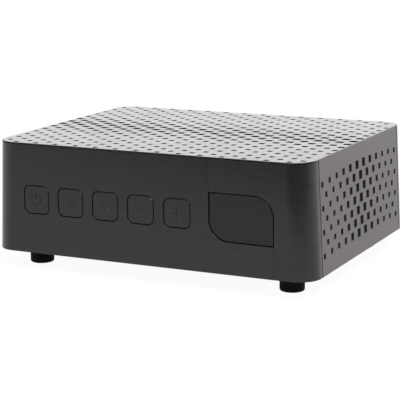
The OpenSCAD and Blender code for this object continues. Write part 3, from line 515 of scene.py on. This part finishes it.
def brick(low, high):
    """A block between two corners."""
    bm = bmesh.new()
    size = Vector(high) - Vector(low)
    middle = (Vector(high) + Vector(low)) / 2
    bmesh.ops.create_cube(bm, size=1,
                          matrix=Matrix.Translation(middle) @ Matrix.Diagonal((*size, 1)))
    return bm


def moved(bm, matrix):
    bmesh.ops.transform(bm, matrix=matrix, verts=bm.verts)
    return bm


def joined(meshes):
    """Several meshes as one."""
    whole = bmesh.new()
    for bm in meshes:
        part = bpy.data.meshes.new("part")
        bm.to_mesh(part)
        bm.free()
        whole.from_mesh(part)
        bpy.data.meshes.remove(part)
    return whole


def towards_rear(x, z, y):
    """Turns a shape that stands on Z so that it points to the rear from a place."""
    return Matrix.Translation((x, y, z)) @ Matrix.Rotation(-math.pi / 2, 4, "X")


def centre(node):
    """The middle of a node's box."""
    return [(a + b) / 2 for a, b in zip(*BOX[node])]


def piece(bm, name, like, finish=None):
    """Makes a mesh a finished piece that rides as its node does.

    With a finish of its own it is an addition. Without one it takes the node's slot and place."""
    for face in bm.faces:
        face.smooth = True
    for edge in bm.edges:
        edge.smooth = not edge.is_manifold or edge.calc_face_angle() < SHARP
    mesh = bpy.data.meshes.new(name)
    bm.to_mesh(mesh)
    bm.free()
    obj = bpy.data.objects.new(name, mesh)
    bpy.context.scene.collection.objects.link(obj)
    node = frame["nodes"][like]
    slot = node.data.materials[0].name
    mesh.materials.append(FINISHES[finish or slot])
    obj.modifiers.new("Even shading", "WEIGHTED_NORMAL").keep_sharp = True
    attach(obj, node["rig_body"])
    if finish is None:
        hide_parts(like)


def soften(width, **names):
    """Some nodes' own shapes with their edges rounded, each under its new name."""
    for node, name in names.items():
        bm = solid(node)
        round_edges(bm, width, 1)
        piece(bm, name, node)


PIECE_OPERATORS = []


def piece_operator(label):
    """Gives a builder an operator that runs it with the scene's shapes."""
    def made_of(build):
        def execute(self, context):
            build(context.scene.receiver_shapes)
            return {"FINISHED"}

        name = build.__name__.removeprefix("build_")
        PIECE_OPERATORS.append(type(f"RECEIVER_OT_{name}", (bpy.types.Operator,), {
            "__doc__": build.__doc__, "bl_idname": f"receiver.{name}", "bl_label": label,
            "execute": execute}))
        return build

    return made_of


# -------- case

KEYS = ("standby", "channel_down", "channel_up", "volume_down", "volume_up")


def at(value, target, slack=0.01 * MM):
    return abs(value - target) < slack


def on_plane(edge, axis, target):
    return all(at(v.co[axis], target) for v in edge.verts)


def inside(point, node):
    """Whether a point lies in front of a node."""
    low, high = BOX[node]
    return low.x < point.x < high.x and low.z < point.z < high.z


@piece_operator("Cover")
def build_cover(shapes):
    """Build the cover, every rim and edge of its outer surface rounded"""
    bm = solid("top_cover")
    top = [v.co.xy for v in bm.verts if at(v.co.z, top_z)]
    hull = [top[k] for k in convex_hull_2d(top)]
    half_top = max(abs(v.co.x) for v in bm.verts if at(v.co.z, top_z))
    half_bottom = BOX["top_cover"][1].x
    lean = (half_bottom - half_top) / (top_z - bottom_z)

    def flank(z):
        """The cover's half width at a height: its sides lean."""
        return half_top + (top_z - z) * lean

    def outline(middle, edge, near=0.02 * MM):
        return on_plane(edge, 2, top_z) and any(
            (intersect_point_line(middle.xy, a, b)[0].xy - middle.xy).length < near
            for a, b in zip(hull, hull[1:] + hull[:1]))

    def outside(middle, edge):
        return (all(at(abs(v.co.x), flank(v.co.z)) for v in edge.verts)
                or on_plane(edge, 2, top_z))

    round_edges(bm, shapes.cover_round, 3, outline)
    round_edges(bm, shapes.hole_round, 1, outside)
    # What lies deeper than the rounded rims, such as the walls of the holes, got no paint, and is
    # darkened further as painted shade in the recesses
    skin = 1.5 * shapes.hole_round
    bare = bm.faces.layers.float.new("bare")
    for face in bm.faces:
        middle = face.calc_center_median()
        face[bare] = float(top_z - middle.z > skin and flank(middle.z) - abs(middle.x) > skin)
    piece(bm, "perforated_cover", "top_cover")


@piece_operator("Front moulding")
def build_front(shapes):
    """Build the front moulding: rounded openings, fine lines and outer edges"""
    bm = solid("front_fascia")
    openings = [f"key_{key}" for key in KEYS] + ["display_window"]
    half_width = BOX["front_fascia"][1].x
    # Where the two sides that wrap the corners end
    wrap_y = max(v.co.y for v in bm.verts if abs(v.co.x) > half_width - 1 * MM)
    wall_height = 30 * MM     # longer edges than this run up the whole wall
    rim_depth = 2 * MM        # the wall's upper rim lies no deeper under the top

    def rims(middle, edge):
        return on_plane(edge, 1, front_y) and any(inside(middle, n) for n in openings)

    def lines(middle, edge):
        upright = at(edge.verts[0].co.x, edge.verts[1].co.x)
        return (on_plane(edge, 1, front_y) and upright
                and not any(inside(middle, n) for n in openings))

    def seams(middle, edge):
        return on_plane(edge, 1, wrap_y) and edge.calc_length() > wall_height and any(
            abs(f.normal.x) > 0.9 and f.normal.x * middle.x > 0 for f in edge.link_faces)

    round_edges(bm, shapes.opening_round, 2, rims)
    round_edges(bm, shapes.mark_round, 1, lines)
    round_edges(bm, shapes.case_round, 2, lambda middle, edge: on_plane(edge, 2, bottom_z))
    round_edges(bm, shapes.seam_round, 4, seams)
    # The wall's upper rim, under the cover's edge, gets painted shade: dark and matt, so that light
    # through the holes above leaves no spots on it
    bare = bm.faces.layers.float.new("bare")
    for face in bm.faces:
        high = face.calc_center_median().z > top_z - rim_depth
        face[bare] = float(face.normal.z > 0.7 and high)
    piece(bm, "front_moulding", "front_fascia")


@piece_operator("Display window")
def build_window(shapes):
    """Build the smoked window and the display behind it"""
    bm = solid("display_window")
    face_y = BOX["display_window"][0].y
    round_edges(bm, shapes.opening_round, 2, lambda middle, edge: on_plane(edge, 1, face_y))
    piece(bm, "smoked_window", "display_window")
    soften(shapes.part_round, display_module="display_housing")
    soften(shapes.sheet_round, display_digits="display_figures")


@piece_operator("Rear moulding")
def build_rear(shapes):
    """Build the rear moulding, its cut-outs and outer edges rounded"""
    bm = solid("rear_panel")
    round_edges(bm, shapes.opening_round, 1, lambda middle, edge: on_plane(edge, 1, rear_y))
    piece(bm, "rear_moulding", "rear_panel")


@piece_operator("Base")
def build_base(shapes):
    """Build the base, the slots, cups and outline of its underside rounded"""
    bm = solid("base_tray")
    round_edges(bm, shapes.opening_round, 1, lambda middle, edge: on_plane(edge, 2, bottom_z))
    piece(bm, "base_moulding", "base_tray")


# -------- keys and feet

@piece_operator("Keys")
def build_keys(shapes):
    """Build the key caps, with a rounded rim and softened marks, and their plungers"""
    for key in KEYS:
        node = f"key_{key}"
        bm = solid(node)
        low, high = BOX[node]
        middle = (low + high) / 2
        mark_reach = (high.x - low.x) / 3.6     # the mark lies nearer to the middle than this

        def away(point):
            return max(abs(point.x - middle.x), abs(point.z - middle.z))

        round_edges(bm, shapes.mark_round, 1, lambda point, edge:
                    on_plane(edge, 1, front_y) and away(point) < mark_reach)
        round_edges(bm, shapes.key_round, 3, lambda point, edge:
                    on_plane(edge, 1, front_y) and away(point) > mark_reach)
        piece(bm, f"cap_{key}", node)
        soften(shapes.part_round, **{f"plunger_{key}": f"push_rod_{key}"})


@piece_operator("Feet")
def build_feet(shapes):
    """Turn the rubber feet: a dished, grooved sole, a round rim, a neck and a head"""
    for place in ("front_left", "front_right", "rear_left", "rear_right"):
        node = f"foot_{place}"
        low, high = BOX[node]
        # In mm: the sole's radius, its round rim, the neck in the base's hole and the head
        r, rim, neck, head = (high.x - low.x) / 2 / MM, 0.8, 2.4, 3.1
        sole_top, tip = bottom_z / MM, high.z / MM
        neck_top = sole_top + 2.0
        arc = [(r - rim + rim * math.sin(a), rim - rim * math.cos(a)) for a in quarter()]
        dish = [(0, 0.5), (r * 0.36, 0.5), (r * 0.42, 0), (r * 0.58, 0)]
        groove = [(r * 0.60, 0.3), (r * 0.68, 0.3), (r * 0.70, 0)]
        bm = turned(in_mm(*dish, *groove, *arc, (r, sole_top - 0.2), (r - 0.2, sole_top),
                          (neck, sole_top), (neck, neck_top), (head, neck_top),
                          (head, tip - 0.4), (head - 0.4, tip), (0, tip)), steps=56)
        x, y, _ = centre(node)
        piece(moved(bm, Matrix.Translation((x, y, low.z))), f"rubber_{place}", node)


# -------- aerial connectors

def thread(radius, depth, pitch, start, end, steps=28):
    """An outer thread: a tooth's outline climbs a pitch a turn, and its ends are cut square."""
    turns = math.ceil((end - start) / pitch) + 2     # a turn to spare at each end
    root = radius - depth
    # Points (radius, share of the pitch)
    tooth = [(root, 0), (radius, 0.36), (radius, 0.50), (root, 0.86), (root, 1)]
    bm = bmesh.new()
    verts = [bm.verts.new((r, 0, start + (z - 1.5) * pitch)) for r, z in tooth]
    edges = [bm.edges.new(pair) for pair in zip(verts, verts[1:])]
    bmesh.ops.spin(bm, geom=verts + edges, cent=(0, 0, 0), axis=(0, 0, 1),
                   angle=math.tau * turns, steps=steps * turns, dvec=(0, 0, pitch / steps),
                   use_merge=False)
    bmesh.ops.remove_doubles(bm, verts=bm.verts, dist=MERGE)
    for level, above in ((start, False), (end, True)):
        bmesh.ops.bisect_plane(bm, geom=bm.verts[:] + bm.edges[:] + bm.faces[:],
                               plane_co=(0, 0, level), plane_no=(0, 0, 1),
                               clear_outer=above, clear_inner=not above)
    taper = 0.8 * depth     # the teeth fade out over this length at both ends
    for v in bm.verts:
        reach = math.hypot(v.co.x, v.co.y)
        from_end = min(v.co.z - start, end - v.co.z)
        most = root + min(depth, max(0.0, from_end * depth / taper))
        if reach > most:
            v.co.xy *= most / reach
    bmesh.ops.holes_fill(bm, edges=[e for e in bm.edges if e.is_boundary], sides=0)
    bmesh.ops.recalc_face_normals(bm, faces=bm.faces)
    return bm


@piece_operator("Aerial connectors")
def build_aerials(shapes):
    """Build the threaded connectors, their inserts, washers and nuts"""
    depth, pitch = shapes.thread_depth, shapes.thread_pitch
    bore, step, bore_edge, tip_edge = 3 * MM, 1 * MM, 0.25 * MM, 0.35 * MM
    shoulder = -2.1 * MM     # where the connector widens behind the rear wall
    gap_start, gap_end = 2.8 * MM, 3.3 * MM     # the thread's gap, behind the nut
    for node, name in (("aerial_input", "threaded_input"),
                       ("aerial_loop_output", "threaded_output")):
        low, high = BOX[node]
        x, _, z = centre(node)
        radius, reach, back = (high.x - low.x) / 2, high.y - rear_y, low.y - rear_y
        root = radius - depth
        core = turned([(bore, back), (radius - step, back), (radius - step, shoulder),
                       (root, shoulder), (root, reach - tip_edge), (root - tip_edge, reach),
                       (bore + bore_edge, reach), (bore, reach - bore_edge)],
                      steps=40, closed=True)
        shank = thread(radius, depth, pitch, shoulder, gap_start)
        tip = thread(radius, depth, pitch, gap_end, reach - 0.1 * MM)
        piece(moved(joined([core, shank, tip]), towards_rear(x, z, rear_y)), name, node)
    soften(shapes.part_round, aerial_inserts="aerial_insulators",
           aerial_washers="aerial_shim_rings")
    soften(shapes.part_round * 1.5, aerial_nuts="aerial_lock_nuts")


# -------- other sockets

def strip(points, x, width, thick):
    """A thin metal strip that follows points (y, z) in an upright plane, centred on x."""
    bm = bmesh.new()
    lower = [bm.verts.new((x - width / 2, y, z)) for y, z in points]
    upper = [bm.verts.new((x - width / 2, y, z + thick)) for y, z in points]
    faces = [bm.faces.new((lower[k], lower[k + 1], upper[k + 1], upper[k]))
             for k in range(len(points) - 1)]
    grown = bmesh.ops.extrude_face_region(bm, geom=faces)["geom"]
    bmesh.ops.translate(bm, vec=(width, 0, 0),
                        verts=[v for v in grown if isinstance(v, bmesh.types.BMVert)])
    bmesh.ops.recalc_face_normals(bm, faces=bm.faces)
    return bm


def path(face, floor, *points):
    """Points (y, z) of a strip, from how far each lies behind a face and over a floor in mm."""
    return [(face - back * MM, floor + up * MM) for back, up in points]


def spread(count, pitch):
    """Places of a row of things about its middle."""
    return [(k - (count - 1) / 2) * pitch for k in range(count)]


@piece_operator("Network socket")
def build_network(shapes):
    """Build the network socket, its sprung contacts and light pipes"""
    soften(shapes.part_round, network_socket="network_shield")
    low, high = BOX["network_socket"]
    x, face = centre("network_socket")[0], high.y
    cavity_floor = low.z + 3.2 * MM
    bend = path(face, cavity_floor, (1.6, 0.1), (2.6, 0.5), (9.5, 3.0), (11.5, 2.7))
    contacts = [strip(bend, x + dx, 0.45 * MM, 0.2 * MM) for dx in spread(8, 1.02 * MM)]
    piece(joined(contacts), "network_contacts", "network_socket", finish="gold_plate")
    half_pipe = 1.2 * MM
    apart = high.x - low.x - 3.4 * MM
    for side, lens in ((-1, "green_lens"), (1, "amber_lens")):
        middle = x + side * apart / 2
        pipe = brick((middle - half_pipe, face - 4 * MM, high.z - 2.5 * MM),
                     (middle + half_pipe, face + 0.12 * MM, high.z - 0.7 * MM))
        round_edges(pipe, 0.1 * MM, 2)
        piece(pipe, f"network_{lens.split('_')[0]}_light", "network_socket", finish=lens)


@piece_operator("USB and HDMI sockets")
def build_usb_and_hdmi(shapes):
    """Build the USB and HDMI shells, tongues, contacts and springs"""
    for kind in ("usb", "hdmi"):
        soften(shapes.sheet_round, **{f"{kind}_shell": f"{kind}_metal"})
        soften(shapes.part_round, **{f"{kind}_tongue": f"{kind}_insulator"})
    low, high = BOX["usb_tongue"]
    x = centre("usb_tongue")[0]
    under = path(high.y, low.z, (8.5, -0.08), (1.2, -0.08), (0.6, 0))
    rows = [strip(under, x + dx * MM, 1.0 * MM, 0.1 * MM) for dx in (-3.5, -1, 1, 3.5)]
    piece(joined(rows), "usb_contacts", "usb_tongue", finish="gold_plate")
    low, high = BOX["usb_shell"]
    thick = 0.12 * MM
    bent = path(high.y, low.z, (7.0, 0.42), (3.6, 0.95), (2.2, 0.5))
    hung = [(y, low.z + high.z - z - thick) for y, z in bent]
    springs = [strip(way, x + dx, 2.2 * MM, thick)
               for dx in spread(2, 5.2 * MM) for way in (bent, hung)]
    piece(joined(springs), "usb_springs", "usb_shell", finish="tinned_steel")
    low, high = BOX["hdmi_tongue"]
    x, thick = centre("hdmi_tongue")[0], 0.06 * MM
    rows = [strip(path(high.y, z, (6, 0), (0.5, 0)), x + dx, 0.42 * MM, thick)
            for count, z in ((10, high.z), (9, low.z - thick))
            for dx in spread(count, 1.0 * MM)]
    piece(joined(rows), "hdmi_contacts", "hdmi_tongue", finish="gold_plate")


@piece_operator("Round sockets")
def build_round_sockets(shapes):
    """Build the power inlet, phono and small jack, with pin and contact rings"""
    soften(shapes.part_round, power_inlet="power_housing", av_socket="av_housing",
           phono_shell="phono_metal", phono_insert="phono_insulator")
    low, high = BOX["power_inlet_pin"]
    x, _, z = centre("power_inlet_pin")
    r, reach = (high.x - low.x) / 2, high.y - low.y
    dome = [(r * math.cos(a), reach - r + r * math.sin(a)) for a in quarter()]
    pin = turned([(0, 0), (r, 0), *dome[:-1], (0, reach)], steps=28)
    piece(moved(pin, towards_rear(x, z, low.y)), "power_pin", "power_inlet_pin")
    depth = 6.5 * MM     # how far in the contact rings start
    ring = turned(in_mm((2.85, 0), (2.72, 0.3), (2.72, 3), (2.85, 3.3)), steps=32, closed=True)
    piece(moved(ring, towards_rear(x, z, rear_y - depth)), "power_contact_ring", "power_inlet",
          finish="nickel_plate")
    x, _, z = centre("av_socket")
    ring = turned(in_mm((1.8, 0), (1.74, 0.1), (1.74, 4), (1.8, 4.1)), steps=28, closed=True)
    piece(moved(ring, towards_rear(x, z, BOX["av_socket"][1].y - depth)), "av_contact_ring",
          "av_socket", finish="nickel_plate")


# -------- boards

def gull_leads(node, count, pitch):
    """Leads on both sides of a flat chip, from its side down to the board."""
    low, high = BOX[node]
    y = centre(node)[1]
    bend = in_mm((0, 0.55), (0.35, 0.5), (0.5, 0.05), (1.0, 0.0))
    made = []
    for dy in spread(count, pitch):
        for side, x in ((-1, low.x), (1, high.x)):
            turn = Matrix.Rotation(-side * math.pi / 2, 4, "Z")
            made.append(moved(strip(bend, 0, 0.3 * MM, 0.12 * MM),
                              Matrix.Translation((x, y + dy, low.z)) @ turn))
    return made


def small_part(x, y, z):
    """A ceramic part and its two tinned ends, as two meshes."""
    half, side, tall, cap = 0.8 * MM, 0.4 * MM, 0.55 * MM, 0.32 * MM
    # The ends stand a little proud of the body
    body = brick((-half + cap, -side * 0.96, 0), (half - cap, side * 0.96, tall * 0.97))
    ends = [brick((start, -side, 0), (start + cap, side, tall)) for start in (-half, half - cap)]
    turn = Matrix.Translation((x, y, z)) @ Matrix.Rotation(math.pi / 2, 4, "Z")
    return moved(body, turn), moved(joined(ends), turn)


@piece_operator("Boards")
def build_boards(shapes):
    """Build both boards and the card reader, with small surface-mounted parts"""
    soften(shapes.part_round, main_board="main_circuit_board", key_board="key_circuit_board",
           card_reader="card_reader_housing")
    board_top = BOX["main_board"][1].z
    pitch = 2.4 * MM
    parts = []
    # Two rows beside each of these, and how far from it they stand in mm
    for node, gap in (("main_processor", 8.0), ("flash_chip", 2.5), ("lnb_regulator", 2.2),
                      ("clock_crystal", 2.2)):
        low, high = BOX[node]
        x, room = centre(node)[0], gap * MM
        count = max(3, int((high.x - low.x) / pitch))
        parts += [small_part(x + dx, side, board_top)
                  for side in (low.y - room, high.y + room) for dx in spread(count, pitch)]
    bodies, ends = zip(*parts)
    piece(joined(bodies), "small_ceramics", "main_board", finish="ceramic")
    piece(joined(ends), "small_part_ends", "main_board", finish="tinned_steel")


@piece_operator("Chips and heat sink")
def build_chips(shapes):
    """Build the processor, pad, heat sink, memory, flash and regulator"""
    soften(shapes.part_round, main_processor="processor_package", thermal_pad="soft_pad")
    soften(shapes.part_round * 1.5, heat_sink="finned_sink")
    soften(shapes.part_round, memory_chips="memory_packages", flash_chip="flash_package",
           lnb_regulator="regulator_package")
    leads = gull_leads("flash_chip", 12, 0.6 * MM) + gull_leads("lnb_regulator", 4, 1.0 * MM)
    piece(joined(leads), "chip_leads", "flash_chip", finish="tinned_steel")


@piece_operator("Power parts")
def build_power_parts(shapes):
    """Build the capacitors with sleeves and tops, inductors and the crystal"""
    bm = solid("smoothing_capacitors")
    base = BOX["smoothing_capacitors"][0].z
    cans, tops = [], []
    for face in [f for f in bm.faces if f.normal.z > 0.9]:
        middle = face.calc_center_median()
        r = max((v.co - middle).length for v in face.verts)
        h = middle.z - base
        place = Matrix.Translation((middle.x, middle.y, base))
        neck = [(r, h * 0.10), (r * 0.95, h * 0.13), (r, h * 0.16)]
        # The sleeve's edge curls over the can, and the bare top lies a little lower
        curl = [(r, h - 0.5 * MM), (r - 0.15 * MM, h - 0.1 * MM), (r - 0.5 * MM, h - 0.05 * MM),
                (r - 0.6 * MM, h - 0.25 * MM), (0, h - 0.25 * MM)]
        cans.append(moved(turned([(0, 0), (r, 0), *neck, *curl], steps=32), place))
        inner, low, high = r - 0.62 * MM, h - 0.3 * MM, h - 0.2 * MM
        tops.append(moved(turned([(0, low), (inner, low), (inner, high), (0, high)], steps=32),
                          place))
    bm.free()
    piece(joined(cans), "capacitor_sleeves", "smoothing_capacitors")
    piece(joined(tops), "capacitor_tops", "smoothing_capacitors", finish="aluminium")
    soften(shapes.part_round, power_inductors="shielded_inductors")
    soften(shapes.part_round * 2, clock_crystal="crystal_can")


@piece_operator("Tuner")
def build_tuner(shapes):
    """Build the tuner can and its lid"""
    soften(shapes.sheet_round, tuner_can="tuner_frame", tuner_lid="tuner_cap")


@piece_operator("Key electronics")
def build_key_electronics(shapes):
    """Build the key switches, infrared receiver, lamp, ribbon and its sockets"""
    soften(shapes.part_round, key_switches="switch_bodies", infrared_receiver="receiver_eye",
           status_lamp="lamp_bulb")
    soften(shapes.sheet_round, front_ribbon="flat_ribbon")
    soften(shapes.part_round, ribbon_sockets="ribbon_clamps")


@piece_operator("Screws")
def build_screws(shapes):
    """Build every screw, its head and recess rounded"""
    soften(shapes.part_round, case_screws="case_fasteners", board_screws="board_fasteners",
           key_board_screws="key_board_fasteners", rear_screws="rear_fasteners")


# -------- stage

def soft_panel(name, place, aim, size, power):
    """An area light that faces a point and stays out of the picture."""
    light = bpy.data.lights.new(name, "AREA")
    light.shape = "RECTANGLE"
    light.size, light.size_y = size
    light.energy = power
    obj = bpy.data.objects.new(name, light)
    obj.location = place
    obj.rotation_euler = (Vector(place) - Vector(aim)).to_track_quat("Z", "Y").to_euler()
    obj.visible_camera = False
    bpy.context.scene.collection.objects.link(obj)


def background_share(tree):
    """1 for rays that see the background as white: the camera's, and those in gloss and glass."""
    ray = add(tree, "LightPath").outputs
    seen = maths(tree, "ADD", ray["Is Camera Ray"], ray["Is Glossy Ray"])
    return maths(tree, "MINIMUM", maths(tree, "ADD", seen, ray["Is Transmission Ray"]), 1.0)


def paper_sheet(name, place, size, turn, tone):
    """A level sheet of matt paper, and its material's tree."""
    bm = bmesh.new()
    bmesh.ops.create_grid(bm, x_segments=1, y_segments=1, size=0.5)
    moved(bm, Matrix.Translation(place) @ Matrix.Rotation(turn, 4, "Z")
          @ Matrix.Diagonal((*size, 1, 1)))
    mesh = bpy.data.meshes.new(name)
    bm.to_mesh(mesh)
    bm.free()
    sheet = bpy.data.objects.new(name, mesh)
    bpy.context.scene.collection.objects.link(sheet)
    paper = bpy.data.materials.new(name)
    paper.use_nodes = True
    shader = paper.node_tree.nodes["Principled BSDF"]
    shader.inputs["Base Color"].default_value = (tone, tone, tone, 1)
    shader.inputs["Roughness"].default_value = 0.9
    shader.inputs["Specular IOR Level"].default_value = 0.0
    mesh.materials.append(paper)
    return sheet, paper.node_tree


def blend(tree, share, first, second, output):
    """Sends a mix of two shaders to the tree's output."""
    mix = add(tree, "MixShader", {0: share, 1: first.outputs[0], 2: second.outputs[0]})
    tree.links.new(mix.outputs[0], tree.nodes[output].inputs["Surface"])


def build_stage(stage):
    """Camera, lights, white surroundings and a plain floor that keeps a soft shadow."""
    scene = bpy.context.scene
    scene.view_settings.view_transform = "Standard"
    camera = bpy.data.objects.new("camera", bpy.data.cameras.new("camera"))
    camera.data.lens = stage.lens
    camera.data.clip_start, camera.data.clip_end = 0.01, 50
    aim = Vector((stage.aim_x, front_y, stage.aim_z))
    a, e = stage.azimuth, stage.elevation
    back = Vector((math.sin(a) * math.cos(e), -math.cos(a) * math.cos(e), math.sin(e)))
    camera.location = aim + back * stage.distance
    level = Matrix.Rotation(a, 4, "Z") @ Matrix.Rotation(math.pi / 2 - e, 4, "X")
    camera.rotation_euler = (level @ Matrix.Rotation(-stage.roll, 4, "Z")).to_euler()
    scene.collection.objects.link(camera)
    scene.camera = camera

    middle, white = (0, 0, 0.03), (1, 1, 1, 1)
    soft_panel("softbox", (0.60, -0.54, 0.90), middle, (0.35, 0.35), stage.key_power)
    soft_panel("back panel", (0.1, 1.5, 0.45), (0, 0, 0.1), (3.4, 0.9), stage.back_power)
    soft_panel("overhead panel", (-0.2, -0.1, 1.4), middle, (1.4, 1.4), stage.top_power)

    scene.world = bpy.data.worlds.new("white room")
    scene.world.use_nodes = True
    tree = scene.world.node_tree
    even = tree.nodes["Background"]
    even.inputs["Color"].default_value = white
    even.inputs["Strength"].default_value = stage.sky
    backdrop = add(tree, "Background", {"Color": white, "Strength": 1.0})
    blend(tree, background_share(tree), even, backdrop, "World Output")

    _, tree = paper_sheet("floor", (0, 0, 0), (12, 12), turn=0, tone=0.9)
    glow = add(tree, "Emission", {"Color": white, "Strength": 1.0})
    share = maths(tree, "MULTIPLY", background_share(tree), 0.95)
    blend(tree, share, tree.nodes["Principled BSDF"], glow, "Material Output")

    # The white table ends before the camera, and the front shows the dark room beyond it: a dark
    # sheet, seen only in reflections, is the painted shade of that room
    width, reach = 5, 1.6
    away = stage.table_end + reach / 2
    place = (math.sin(a) * away, -math.cos(a) * away, 1 * MM)
    dark, _ = paper_sheet("dark room", place, (width, reach), turn=a, tone=0.01)
    dark.visible_camera = dark.visible_diffuse = dark.visible_shadow = False


# -------- operators and panel

class RECEIVER_OT_stage(bpy.types.Operator):
    """Set up the camera, the lights, the white surroundings and the floor"""
    bl_idname = "receiver.stage"
    bl_label = "Stage"

    def execute(self, context):
        build_stage(context.scene.receiver_stage)
        return {"FINISHED"}


class RECEIVER_OT_finishes(bpy.types.Operator):
    """Make the shared effects and every material"""
    bl_idname = "receiver.finishes"
    bl_label = "Finishes"

    def execute(self, context):
        make_effects()
        make_finishes(context.scene.receiver_colours)
        return {"FINISHED"}


class RECEIVER_PT_looks(bpy.types.Panel):
    """Steps that dress the receiver"""
    bl_label = "Receiver looks"
    bl_idname = "RECEIVER_PT_looks"
    bl_space_type = "VIEW_3D"
    bl_region_type = "UI"
    bl_category = "Receiver"

    def draw(self, context):
        for settings in SETTINGS:
            group = getattr(context.scene, settings)
            for name in group.__annotations__:
                self.layout.prop(group, name)
        for operator in OPERATORS:
            self.layout.operator(operator.bl_idname)


SETTINGS = {"receiver_shapes": ReceiverShapes, "receiver_colours": ReceiverColours,
            "receiver_stage": ReceiverStage}
OPERATORS = [RECEIVER_OT_stage, RECEIVER_OT_finishes, *PIECE_OPERATORS]
CLASSES = [*SETTINGS.values(), *OPERATORS, RECEIVER_PT_looks]


def register():
    for made in CLASSES:
        bpy.utils.register_class(made)
    for name, group in SETTINGS.items():
        setattr(bpy.types.Scene, name, PointerProperty(type=group))


def unregister():
    for name in SETTINGS:
        delattr(bpy.types.Scene, name)
    for made in reversed(CLASSES):
        bpy.utils.unregister_class(made)


def main():
    register()
    for operator in OPERATORS:
        getattr(bpy.ops.receiver, operator.bl_idname.split(".")[1])()


if __name__ == "__main__":
    main()
